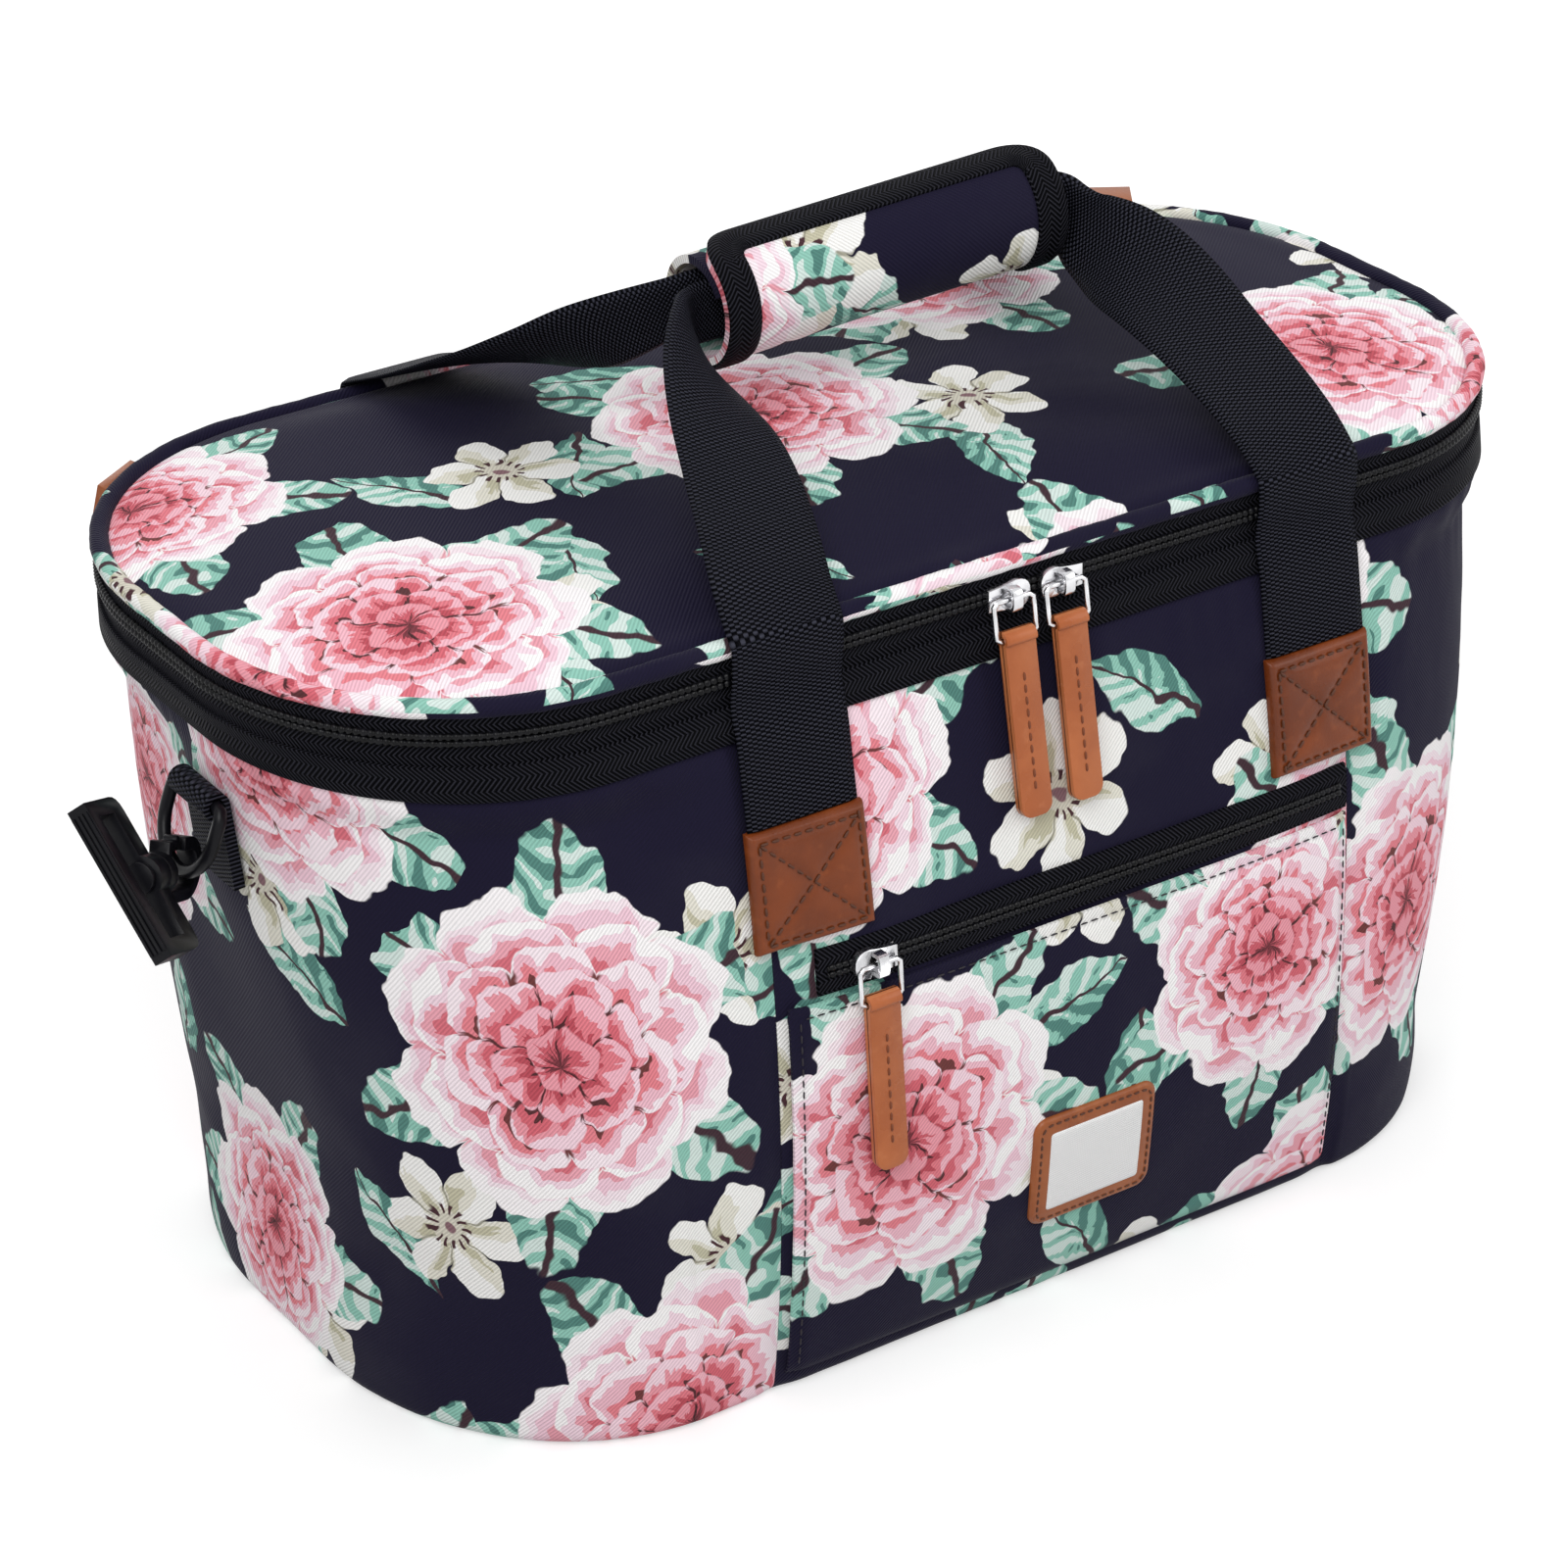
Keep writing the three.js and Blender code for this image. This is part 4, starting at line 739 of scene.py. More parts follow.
def endWall(name, side, seed, nodes):
    # wraps one end from seam to seam: turn round the plan, z up
    z = wallHeights()
    seamTurn = lap["corner"] * (seams[1] if side > 0 else -seams[0]) / planAt(z)[0]
    first = seamTurn if side > 0 else 2 + seamTurn
    last = 2 - seamTurn if side > 0 else 4 - seamTurn
    even = evenTurns(float(first.mean()), float(last.mean()), wall["round"])
    turn = first + (last - first) * ((even - even[0]) / (even[-1] - even[0]))[:, None]
    halfWay = wall["rows"] // 2
    s = arcLength(ringPoint(turn[:, halfWay], z[0, halfWay]))[:, None]
    gap = np.minimum(s, s[-1] - s)
    fine, knots = np.linspace(0, 1, wall["round"]), np.linspace(0, 1, wall["coarseRound"])
    spots = np.interp(knots, fine, turn[:, halfWay])
    settled = settledField(name, ringPoint, spots, knots, fine, z[0], wall["coarseRows"], seed, wall["soft"])
    out = wallSoftness(s, z, gap, settled) - seamDrop(z) * np.exp(-(gap / bag["pullStart"]) ** 2)
    return wallPiece(name, ringPoint, turn, z, out - endNeck(s, z, gap), s[:, 0], "endWall", seed, nodes)


longWall("frontCloth", -1, 3, ["front_panel", "front_foam"])
longWall("backCloth", 1, 5, ["back_panel", "back_foam"])
endWall("leftCloth", -1, 1, ["left_end_panel", "left_end_foam"])
endWall("rightCloth", 1, 2, ["right_end_panel", "right_end_foam"])
print("walls sewn")

# base and lining: thickness of the base's cloth, points round the rim, creases and thickness of the lining
inside = dict(base=0.0011, round=240, crease=0.0009, slack=0.0011, outerRows=30, innerRows=40)


def baseCloth():
    # flat base from the middle of its underside, round the edge and back to the middle of its upper face
    turn = wholeRim(inside["round"])
    foot, thick = wall["baseRound"], inside["base"]
    rows = [(0.0, 0.07), (0.0, 0.03), (0.0, 0.012), (0.0, foot + 0.0002), (thick, foot - 0.0006),
            (thick, 0.012), (thick, 0.07)]
    rings = np.stack([ringPoint(turn, 0.0, -inset) + [0, 0, z] for z, inset in rows])
    stackPiece("baseCloth", rings, rings[..., :2] + cutAt["base"], "cloth", "bag",
               ["base_panel", "base_board"])


def liningTub():
    # pale lining: up the outside, over the rim, down the inside and across the floor
    turn = wholeRim(inside["round"])
    s = arcLength(ringPoint(turn, 0.2))
    back = -bag["linerInset"]
    low = bag["floor"] + 0.001
    rows = []
    for z in np.linspace(bag["floor"], bag["bandTop"], inside["outerRows"]):
        rows.append(ringPoint(turn, z, back + 0.0002))
    for z in np.linspace(bag["bandTop"] + 0.0006, bag["floor"] + 0.012, inside["innerRows"]):
        rows.append(ringPoint(turn, z, back - inside["slack"] + wobble(s, z, 11, inside["crease"])))
    for inset, rise in ((0.0018, 0.007), (0.0048, 0.003), (0.010, 0.0006), (0.03, 0), (0.07, 0)):
        rows.append(ringPoint(turn, low + rise, back - inset))
    rings = np.stack(rows)
    uv = np.stack([np.broadcast_to(s, rings.shape[:2]), rings[..., 2]], -1)
    stackPiece("liningTub", rings, uv, "lining", "bag", ["liner_tub", "base_foam"])


baseCloth()
liningTub()

# trim band, zip and hinge cloth round the rim
rim = dict(bandOut=0.0010, bandBack=-0.0009, bevel=0.0004, tapeBack=0.0011, tape=0.0008, tapeTop=0.2526,
           halfGap=0.0006, coilRadius=0.00135, coilOut=0.0001, coilPitch=0.0022, coilGap=0.0011, coilSides=8,
           hingeOut=0.0002, hingeTop=0.2524, hingeGap=0.004, round=360, zipSteps=330, coilSteps=3001,
           hingeSteps=180)
zipReach = math.asin((bag["zipEnd"] - planAt(bag["zipHeight"])[0]) / bag["topCorner"][0])
zipTurn = 2 - lap["corner"] - lap["cornerRun"] * zipReach / (math.pi / 2)


def rimSection(name, section, turns, joined, look, body, nodes):
    # a closed section of (out, z) points carried round the rim
    loops = np.stack([ringPoint(turns, z, out) for out, z in section], 1)
    along = arcLength(ringPoint(np.append(turns, turns[0] + 4) if joined else turns, bag["bandTop"]))
    around = arcLength(np.array(section + section[:1]))
    return sweepPiece(name, loops, along, around, look, body, nodes, joined, sharp=0.9)


def coilGirth(run, radius):
    # a spiral chain drawn as a tube whose girth swells once for every coil: half width and half height
    swell = 0.5 + 0.5 * np.cos(2 * np.pi * run / rim["coilPitch"])
    girth = radius * (0.62 + 0.38 * swell ** 0.6)[:, None]
    angle = roundAngles(rim["coilSides"])
    return girth * np.cos(angle), girth * np.sin(angle)


def coilTube(name, z, turns, body):
    # one half of the chain round the rim
    run = arcLength(ringPoint(turns, bag["zipHeight"]))
    aside, up = coilGirth(run, rim["coilRadius"])
    loops = ringPoint(turns[:, None], np.full_like(aside, bag["zipHeight"]), rim["coilOut"] + aside)
    loops[..., 2] = z + up
    around = np.linspace(0, fullTurn * rim["coilRadius"], rim["coilSides"] + 1)
    sweepPiece(name, loops, run, around, "coil", body)


def addRim():
    # band, both tapes, both halves of the chain, and the strip along the back where the lid hinges
    low, high, mid = bag["bandBottom"], bag["bandTop"], bag["zipHeight"]
    out, back, bevel, gap = rim["bandOut"], rim["bandBack"], rim["bevel"], rim["halfGap"]
    band = [(out - bevel, low), (out, low + gap), (out, high - gap), (out - bevel, high), (back, high),
            (back, low)]
    rimSection("trimBand", band, wholeRim(rim["round"]), True, "band", "bag", ["trim_band"])
    zipTurns = evenTurns(-zipTurn, zipTurn, rim["zipSteps"])
    b = -rim["tapeBack"]
    f = b + rim["tape"]
    lower = [(f, high - gap), (f, mid - gap), (b, mid - gap), (b, high - gap)]
    upper = [(f, mid + gap), (f, rim["tapeTop"]), (b, rim["tapeTop"]), (b, mid + gap)]
    rimSection("bodyTape", lower, zipTurns, False, "band", "bag", ["body_zip_tape"])
    rimSection("lidTape", upper, zipTurns, False, "band", "lid", ["lid_zip_tape"])
    coilTurns = evenTurns(-zipTurn, zipTurn, rim["coilSteps"])
    coilTube("bodyCoil", mid - rim["coilGap"], coilTurns, "bag")
    coilTube("lidCoil", mid + rim["coilGap"], coilTurns, "lid")
    backTurns = evenTurns(zipTurn + rim["hingeGap"], 4 - zipTurn - rim["hingeGap"], rim["hingeSteps"])
    heights = np.linspace(high - bevel, rim["hingeTop"], 9)
    strip = [(rim["hingeOut"], z) for z in heights] + [(back, z) for z in heights[::-1]]
    hinge = rimSection("hingeCloth", strip, backTurns, False, "band", None, ["hinge_strip"])
    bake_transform(hinge)


addRim()
print("rim and zip laid")

# lid: a padded dome held by printed piping
lid = dict(edgeInset=0.0036, soft=0.0016, foam=0.007, roll=0.0022, rollReach=0.05, rings=46, coarseRings=18,
           thin=3, lining=0.0009, liningGap=0.0004, pipingSides=16)


def lidHeight(r):
    # flat-topped dome with a soft roll at its rim
    fromRim = (1 - r) / lid["rollReach"]
    dome = bag["dome"] * (1 - r ** 4) + lid["roll"] * np.exp(-fromRim ** 2) * fromRim
    return bag["pipingHeight"] + dome


def lidSettled(edge, share):
    # the lid's cloth settled on a coarse web of rings, held at the rim and read at the finer rings
    step = lid["thin"]
    web, rings = edge[::step], np.linspace(1, share[-1], lid["coarseRings"])
    x, y = web[:, :1] * rings, web[:, 1:] * rings
    points = np.stack([x, y, lidHeight(rings) + 0 * x], -1)
    move = settledCloth("lidCloth", points, np.array([0.0, 0.0, 1.0]), 21, lid["soft"], joined=True)
    looped = np.concatenate([move[-3:], move, move[:3]])
    knots = float(step) * np.arange(-3, len(web) + 3)
    return (splineShares(np.arange(len(edge), dtype=float), knots) @ looped @ splineShares(share, rings).T).T


def addLid():
    # padded top, lining below it, and a tube of piping round its rim
    turn = wholeRim(rim["round"])
    edge = ringPoint(turn, bag["zipHeight"], -lid["edgeInset"])[:, :2]
    share = 1 - np.linspace(0, 1, lid["rings"]) ** 1.35 * 0.985
    height = lidHeight(share)[:, None] + lidSettled(edge, share) * (1 - share[:, None] ** 6)
    top = np.stack([share[:, None] * edge[:, 0], share[:, None] * edge[:, 1], height], -1)
    coarse = top[::lid["thin"]]
    under = coarse - [0, 0, bag["cloth"] + lid["foam"] * 0.9]
    rings = np.concatenate([under[::-1], top])
    padded = stackPiece("lidCloth", rings, rings[..., :2] + cutAt["lid"], "cloth", "lid",
                        ["lid_panel", "lid_foam"])
    lining = coarse - [0, 0, bag["cloth"] + lid["foam"] + lid["liningGap"]]
    rings = np.concatenate([(lining - [0, 0, lid["lining"]])[::-1], lining])
    stackPiece("lidLining", rings, rings[..., :2], "lining", "lid", ["lid_liner"])
    angle = roundAngles(lid["pipingSides"])
    s = arcLength(ringPoint(turn, bag["zipHeight"]))
    uneven = 1 + 0.03 * np.sin(2 * np.pi * s / 0.019) + 0.02 * np.sin(2 * np.pi * s / 0.0071)
    girth = bag["pipingRadius"] * uneven[:, None]
    out = -bag["pipingInset"] + girth * np.cos(angle)
    loops = ringPoint(turn[:, None], np.full(out.shape, bag["zipHeight"]), out)
    loops[..., 2] = bag["pipingHeight"] + girth * np.sin(angle)
    along = arcLength(ringPoint(np.append(turn, 4.0), bag["zipHeight"]))
    around = cutAt["piping"] + np.linspace(0, fullTurn * bag["pipingRadius"], lid["pipingSides"] + 1)
    sweepPiece("lidPiping", loops, along, around, "cloth", "lid", ["lid_piping"], joined=True)


addLid()
print("lid domed")


def pointsAt(path, run, at):
    # points at the given lengths along a path
    return np.stack([np.interp(at, run, path[:, k]) for k in range(3)], -1)


def stitchPiece(name, runs, look, body, girth, length=0.0026, pitch=0.0038):
    # thread drawn as short capsules: each run is a row of points with the direction out of the cloth
    step, sides = 1e-4, 5
    rows = []
    for path, out in runs:
        run = arcLength(path)
        at = np.arange(pitch / 2, run[-1], pitch)
        place = pointsAt(path, run, at)
        tangent = unit(pointsAt(path, run, at + step) - pointsAt(path, run, at - step))
        rows.append(np.stack([place, tangent, np.broadcast_to(out, place.shape)]))
    centre, tangent, out = np.concatenate(rows, 1)[:, :, None, None]
    angle = roundAngles(sides)[None, None, :, None]
    reach = np.array([-0.5, -0.3, 0.3, 0.5])[None, :, None, None] * length
    width = np.array([0.35, 1, 1, 0.35])[None, :, None, None] * girth
    around = np.cross(tangent, out) * np.cos(angle) + out * np.sin(angle)
    points = centre + tangent * reach + around * width
    start = np.arange(len(centre))[:, None, None] * 4 * sides
    quads = gridFaces(3, 4, sides, [(0, 0), (0, 1), (1, 1), (1, 0)])[0]
    ends = np.array([[4, 3, 2, 1, 0], [15, 16, 17, 18, 19]])
    faces = (quads[None] + start).reshape(-1, 4).tolist() + (ends[None] + start).reshape(-1, sides).tolist()
    corners = sum(len(face) for face in faces)
    addMesh(name, points.reshape(-1, 3), faces, np.zeros((corners, 2)), look, body)


def smoothPath(rows, count):
    # curve through rows of place and other values, with slopes taken over the square root of the spacing
    knots = np.append(0, np.cumsum(np.linalg.norm(np.diff(rows[:, :3], axis=0), axis=1) ** 0.5))
    slopes = np.gradient(rows, knots, axis=0)
    s = np.linspace(0, knots[-1], count)
    k = np.clip(np.searchsorted(knots, s, side="right") - 1, 0, len(knots) - 2)
    gap = (knots[k + 1] - knots[k])[:, None]
    t = (s - knots[k])[:, None] / gap
    return ((2 * t ** 3 - 3 * t ** 2 + 1) * rows[k] + (t ** 3 - 2 * t ** 2 + t) * gap * slopes[k]
            + (-2 * t ** 3 + 3 * t ** 2) * rows[k + 1] + (t ** 3 - t ** 2) * gap * slopes[k + 1])


# handles: webbing from the four patches to the grip, folded narrow inside it
handle = dict(spacing=0.190, width=0.038, thick=0.0022, foldWidth=0.020, foldThick=0.0044, foldAside=0.005,
              patchLow=0.162, patchHigh=0.200, gripX=0.0225, gripZ=0.3095, gripSlope=0.04, gripLength=0.125,
              gripHold=0.020, gripLead=0.006, pipingGap=0.0006, swingY=0.1226, steps=520, across=15)
# on the wall: height and distance out; round the piping: angles; free run: share of the way to the grip,
# distance from the middle line, height, direction of the edge and fold
wallRun = [(0.2003, 0.0003), (0.2135, 0.0006), (0.227, 0.0012), (0.2375, 0.0012), (0.24812, 0.0024)]
pipingWrap = {-1: (0, 22, 42), 1: (0, 45, 80)}
freeRun = {
    -1: [(0.05, 0.104, 0.2670, -1.00, 0.00, 0.03, 0.00), (0.17, 0.091, 0.2760, -1.00, 0.00, 0.08, 0.00),
         (0.34, 0.072, 0.2865, -0.98, 0.08, 0.20, 0.00), (0.50, 0.052, 0.2960, -0.90, 0.12, 0.42, 0.03),
         (0.65, 0.034, 0.3020, -0.70, 0.18, 0.70, 0.20), (0.82, 0.017, 0.3060, -0.35, 0.10, 0.93, 0.62)],
    1: [(0.00, 0.089, 0.2684, -1.00, 0.00, 0.05, 0.00), (0.03, 0.066, 0.2775, -0.97, -0.06, 0.20, 0.00),
        (0.12, 0.043, 0.2865, -0.90, -0.12, 0.40, 0.03), (0.28, 0.027, 0.2935, -0.70, -0.20, 0.65, 0.20),
        (0.55, 0.013, 0.3010, -0.35, -0.10, 0.93, 0.62)]}


def gripLine(x):
    # height of the grip's middle, a little higher to the right
    return handle["gripZ"] + handle["gripSlope"] * (x - handle["gripX"])


def strapRoute(face, hand):
    # half a handle from one foot: up the wall, round the piping, over the lid and into the grip
    half = handle["thick"] / 2
    foot = bag["shift"] + hand * handle["spacing"] / 2
    gripEnd = handle["gripX"] + hand * handle["gripLength"] / 2
    lead, hold = gripEnd + hand * handle["gripLead"], gripEnd - hand * handle["gripHold"]
    rows = [(*wallPoint(foot, z, out + half, face), hand, 0, 0, 0) for z, out in wallRun]
    bend = bag["pipingRadius"] + handle["pipingGap"] + half
    for turn in np.radians(pipingWrap[face]):
        y = bag["topDepth"] / 2 - bag["pipingInset"] + bend * math.cos(turn)
        rows.append((foot, face * y, bag["pipingHeight"] + bend * math.sin(turn), hand, 0, 0, 0))
    for share, reach, z, ex, ey, ez, fold in freeRun[face]:
        rows.append((foot + (lead - foot) * share, face * reach, z, -hand * ex, ey, ez, fold))
    for x in (lead, hold):
        rows.append((x, face * handle["foldAside"], gripLine(x), 0, 0, 1, 1))
    return np.array(rows)


def strapPiece(name, face, node):
    # both halves of the route joined through the grip, with a rounded flat section across it
    path = smoothPath(np.concatenate([strapRoute(face, -1), strapRoute(face, 1)[::-1]]), handle["steps"])
    place, edge, fold = path[:, :3], path[:, 3:6], np.clip(path[:, 6:7], 0, 1)
    run = unit(np.gradient(place, axis=0))
    edge = unit(edge - run * np.sum(edge * run, axis=1)[:, None])
    out = np.cross(run, edge)
    width = handle["width"] + (handle["foldWidth"] - handle["width"]) * fold
    thick = handle["thick"] + (handle["foldThick"] - handle["thick"]) * fold
    across = np.linspace(-1, 1, handle["across"])
    upper = np.stack([across, np.sqrt(np.maximum(1 - np.abs(across) ** 14, 0.03))], -1)
    section = np.concatenate([upper, (upper * [1, -1])[::-1]])
    loops = (place[:, None] + edge[:, None] * (width * section[:, 0])[..., None] / 2
             + out[:, None] * (thick * section[:, 1])[..., None] / 2)
    around = np.append(section[:, 0], section[0, 0]) * handle["width"] / 2
    strap = sweepPiece(name, loops, arcLength(place), around, "webbing", None, [node])
    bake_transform(strap)


# leather pads over the strap ends: half width, place and depth of the stitches, thickness and softness
patch = dict(half=0.020, inset=0.0030, groove=0.0011, sunk=0.0006, pillow=0.0005, crossReach=0.006,
             edgeReach=0.008, rise=0.0045, edgeDrop=0.0027, edgeRound=0.0007, under=0.0006, uneven=0.0002,
             thread=0.0044, count=41)


def strapPatches():
    # folded leather pads sewn over the strap ends, softened at every edge and sunk under their stitches
    half, inset = patch["half"], patch["inset"]
    low, high = handle["patchLow"], handle["patchHigh"]
    middle, tall = (low + high) / 2, (high - low) / 2
    spread = np.sin(np.linspace(-1, 1, patch["count"]) * np.pi / 2)
    across, up = spread[:, None], spread[None, :]
    gap = np.minimum((1 - np.abs(across)) * half, (1 - np.abs(up)) * tall)
    cross = np.minimum(np.abs(across - up), np.abs(across + up)) * half
    sunk = np.exp(-((gap - inset) / patch["groove"]) ** 2)
    sunk = sunk + np.exp(-(cross / patch["groove"]) ** 2) * (gap > inset)
    pillow = np.minimum(cross / patch["crossReach"], 1) * np.minimum(gap / patch["edgeReach"], 1)
    rise = patch["rise"] + patch["pillow"] * pillow - patch["edgeDrop"] * np.exp(-gap / patch["edgeRound"])
    rise = rise - patch["sunk"] * np.minimum(sunk, 1)
    w, t = half - inset, tall - inset
    corners = [(-w, -t), (w, -t), (w, t), (-w, t), (-w, -t)]
    lines = [*zip(corners[:-1], corners[1:]), ((-w, -t), (w, t)), ((-w, t), (w, -t))]
    k = np.linspace(0, 1, 12)
    runs = dict(front=[], back=[])
    for face, side in ((-1, "front"), (1, "back")):
        for sign, hand in ((-1, "left"), (1, "right")):
            foot = bag["shift"] + sign * handle["spacing"] / 2
            x, z = foot + across * half, middle + up * tall
            out = rise + wobble(x, z, 31 + sign, patch["uneven"])
            wallSheet(side + hand.capitalize() + "Patch", x, z, out, patch["under"], "patch",
                      [f"strap_patch_{side}_{hand}", f"strap_end_{side}_{hand}"], face)
            for (xa, za), (xb, zb) in lines:
                lineX, lineZ = foot + xa + (xb - xa) * k, middle + za + (zb - za) * k
                path = wallPoint(lineX, lineZ, patch["thread"], face)
                runs[side].append((path, np.array([0.0, face, 0.0])))
    for side, rows in runs.items():
        stitchPiece(side + "PatchThread", rows, "thread", "bag", 0.00045)


strapPiece("frontStrap", -1, "front_strap")
strapPiece("backStrap", 1, "back_strap")
strapPatches()

# grip: a sheet rolled round both straps between two angles, the radius that it is unrolled at, its binding
grip = dict(bore=0.013, sheet=0.0032, growth=0.0035, start=150, end=-280, unroll=0.0185, corner=0.014,
            soft=0.0004, bound=0.011, boundFrom=-110, bindingOut=0.0004, bindingBack=0.0008, bulge=0.0006,
            pinch=0.0007, steps=130, across=60, sideSteps=22, turnSteps=12, flatSteps=50, bands=8)


def gripPoint(x, angle, out):
    # point of the roll, which spirals out by its own thickness and a little more in a full turn
    r = grip["bore"] + grip["growth"] / 360 * (grip["start"] - angle) + out
    turn = np.radians(angle)
    x = handle["gripX"] + x
    return np.stack(np.broadcast_arrays(x, r * np.cos(turn), gripLine(x) + r * np.sin(turn)), -1)


def gripOutline(half, corner):
    # the bound edge on the unrolled sheet: up one end, round two corners and down the other end
    reach = math.radians(grip["boundFrom"] - grip["end"]) * grip["unroll"]
    turn = np.linspace(0, np.pi / 2, grip["turnSteps"])
    side = np.linspace(reach, corner, grip["sideSteps"])
    flat = np.linspace(half - corner, corner - half, grip["flatSteps"])[1:-1]
    x = np.concatenate([0 * side + half, half - corner + corner * np.cos(turn), flat,
                        corner - half - corner * np.sin(turn), 0 * side - half])
    y = np.concatenate([side, corner - corner * np.sin(turn), 0 * flat, corner - corner * np.cos(turn),
                        side[::-1]])
    return np.stack([x, y], -1)


def addGrip():
    # a padded sheet rolled round both straps, its free edge and ends bound in black tape
    angle = np.linspace(grip["start"], grip["end"], grip["steps"])[:, None]
    half, corner = handle["gripLength"] / 2, grip["corner"]
    toEdge = np.radians(angle - grip["end"]) * grip["unroll"]
    inset = corner - np.sqrt(np.maximum(corner ** 2 - np.maximum(corner - toEdge, 0) ** 2, 0))
    v = np.linspace(-1, 1, grip["across"])[None, :]
    x = v * (half - inset)
    soft = wobble(x, angle * 0.0003, 41, grip["soft"])
    outer = gripPoint(x, angle, grip["sheet"] + soft - 0.0004)
    inner = gripPoint(x, angle, 0.0 * soft)
    along, across = toEdge[:, 0] + cutAt["grip"][0], v[0] * half + cutAt["grip"][1]
    wrap = slabPiece("gripWrap", outer, inner, along, across, "cloth", "back_handle", ["grip_wrap"])
    outline = gripOutline(half, corner)
    along = unit(np.gradient(outline, axis=0))
    inward = np.stack([along[:, 1], -along[:, 0]], -1)
    inward *= np.sign(np.sum(inward * (np.array([0, 0.02]) - outline), 1))[:, None]
    bands = np.linspace(0, 1, grip["bands"])
    at = outline[:, None] + inward[:, None] * (bands[:, None] * grip["bound"])
    spread = grip["end"] + np.degrees(at[..., 1] / grip["unroll"])
    lift = grip["bulge"] - grip["pinch"] * (np.abs(bands - 0.5) * 2) ** 6
    outer = gripPoint(at[..., 0], spread, grip["sheet"] + grip["bindingOut"] + lift)
    inner = gripPoint(at[..., 0], spread, grip["sheet"] - grip["bindingBack"] + 0 * lift)
    slabPiece("gripBinding", outer, inner, arcLength(outline), bands * grip["bound"], "band", "back_handle",
              ["grip_binding"])


addGrip()
print("handles strapped")

# front pocket: its edges, softness and hem, and its zip
pocket = dict(low=0.008, high=0.141, margin=0.003, soft=0.0010, out=0.0027, puff=0.0016, puffReach=0.09,
              hem=0.0035, hemReach=0.0012, hemDip=0.0006, sideDip=0.0013, sideReach=0.003, footDip=0.0012,
              footReach=0.004, thick=0.0010, backMost=0.0016, hemThread=0.0030, sideThread=0.0031,
              sideInset=0.0055, zip=0.150, tape=0.015, first=-0.084, last=0.116, tapeOut=0.0019,
              tapeBack=0.0002, tapeRound=0.0005, coilRadius=0.0012, coilRound=0.0075, coilInset=0.003,
              across=110, rows=70, coarseAcross=38, coarseRows=26, tapeSteps=120, tapeRows=9, coilSteps=1700,
              threadSteps=60)


def addPocket():
    # a second cloth over the front between the seams, hemmed along its top and sewn down its sides
    low, high = pocket["low"], pocket["high"]
    x = np.linspace(seams[0] + pocket["margin"], seams[1] - pocket["margin"], pocket["across"])[:, None]
    k = np.linspace(0, 1, pocket["rows"])
    z = (low + (high - low) * k)[None, :]
    gap = np.minimum(x - x[0], x[-1] - x)
    hem = np.exp(-((high - pocket["hem"] - z) / pocket["hemReach"]) ** 2)
    puff = np.sin(np.pi * np.clip(gap / pocket["puffReach"], 0, 0.5)) * np.sin(np.pi * k)[None, :]
    knots = np.linspace(x[0, 0], x[-1, 0], pocket["coarseAcross"])
    settled = settledField("pocketCloth", wallPoint, knots, knots, x[:, 0], z[0], pocket["coarseRows"], 51,
                           pocket["soft"])
    out = pocket["out"] + pocket["puff"] * puff + settled - pocket["hemDip"] * hem
    out = out - pocket["sideDip"] * np.exp(-(gap / pocket["sideReach"]) ** 2)
    out = out - pocket["footDip"] * np.clip(1 - (z - low) / pocket["footReach"], 0, 1) ** 2
    back = np.minimum(out - pocket["thick"], pocket["backMost"])
    wallSheet("pocketCloth", x, z, out, back, "cloth", ["pocket_panel"], cut=cutAt["pocket"])
    hemX = x[2:-2, 0]
    runs = [(wallPoint(hemX, 0 * hemX + high - pocket["hem"], pocket["hemThread"]), towardsFront)]
    heights = np.linspace(low + 0.004, high - 0.005, pocket["threadSteps"])
    for edge in (seams[0] + pocket["sideInset"], seams[1] - pocket["sideInset"]):
        runs.append((wallPoint(0 * heights + edge, heights, pocket["sideThread"]), towardsFront))
    stitchPiece("pocketThread", runs, "darkThread", "bag", 0.0003)


def addPocketZip():
    # a straight tape above the pocket with both halves of its chain
    x = np.linspace(pocket["first"], pocket["last"], pocket["tapeSteps"])[:, None]
    across = np.linspace(-1, 1, pocket["tapeRows"])[None, :]
    half = pocket["tape"] / 2
    z = np.linspace(pocket["zip"] - half, pocket["zip"] + half, pocket["tapeRows"])[None, :]
    rise = pocket["tapeOut"] - pocket["tapeRound"] * np.abs(across) ** 8
    wallSheet("pocketTape", x, z, rise, pocket["tapeBack"], "band", ["pocket_zip_tape"])
    ends = (pocket["first"] + pocket["coilInset"], pocket["last"] - pocket["coilInset"])
    run = np.linspace(*ends, pocket["coilSteps"])
    out, up = coilGirth(run, pocket["coilRadius"])
    around = np.linspace(0, pocket["coilRound"], rim["coilSides"] + 1)
    for name, offset in (("pocketCoilLow", -rim["coilGap"]), ("pocketCoilHigh", rim["coilGap"])):
        loops = wallPoint(run[:, None], pocket["zip"] + offset + up, pocket["tapeOut"] + out)
        sweepPiece(name, loops, run, around, "coil", "bag")


# blank label: leather square, woven square on it, and the line of stitches round its rim
label = dict(x=0.014, z=0.054, wide=0.0465, tall=0.0405, border=0.0065, corner=0.005, rise=0.0064,
             back=0.0034, edgeDrop=0.0014, edgeRound=0.0006, groove=0.0003, grooveWide=0.0008, inset=0.0022,
             threadCorner=0.0036, threadOut=0.0062, hem=0.002, wovenCorner=0.0012, wovenRise=0.0069,
             wovenBack=0.0060, wovenDrop=0.0005, wovenRound=0.0004, count=41, wovenCount=31)


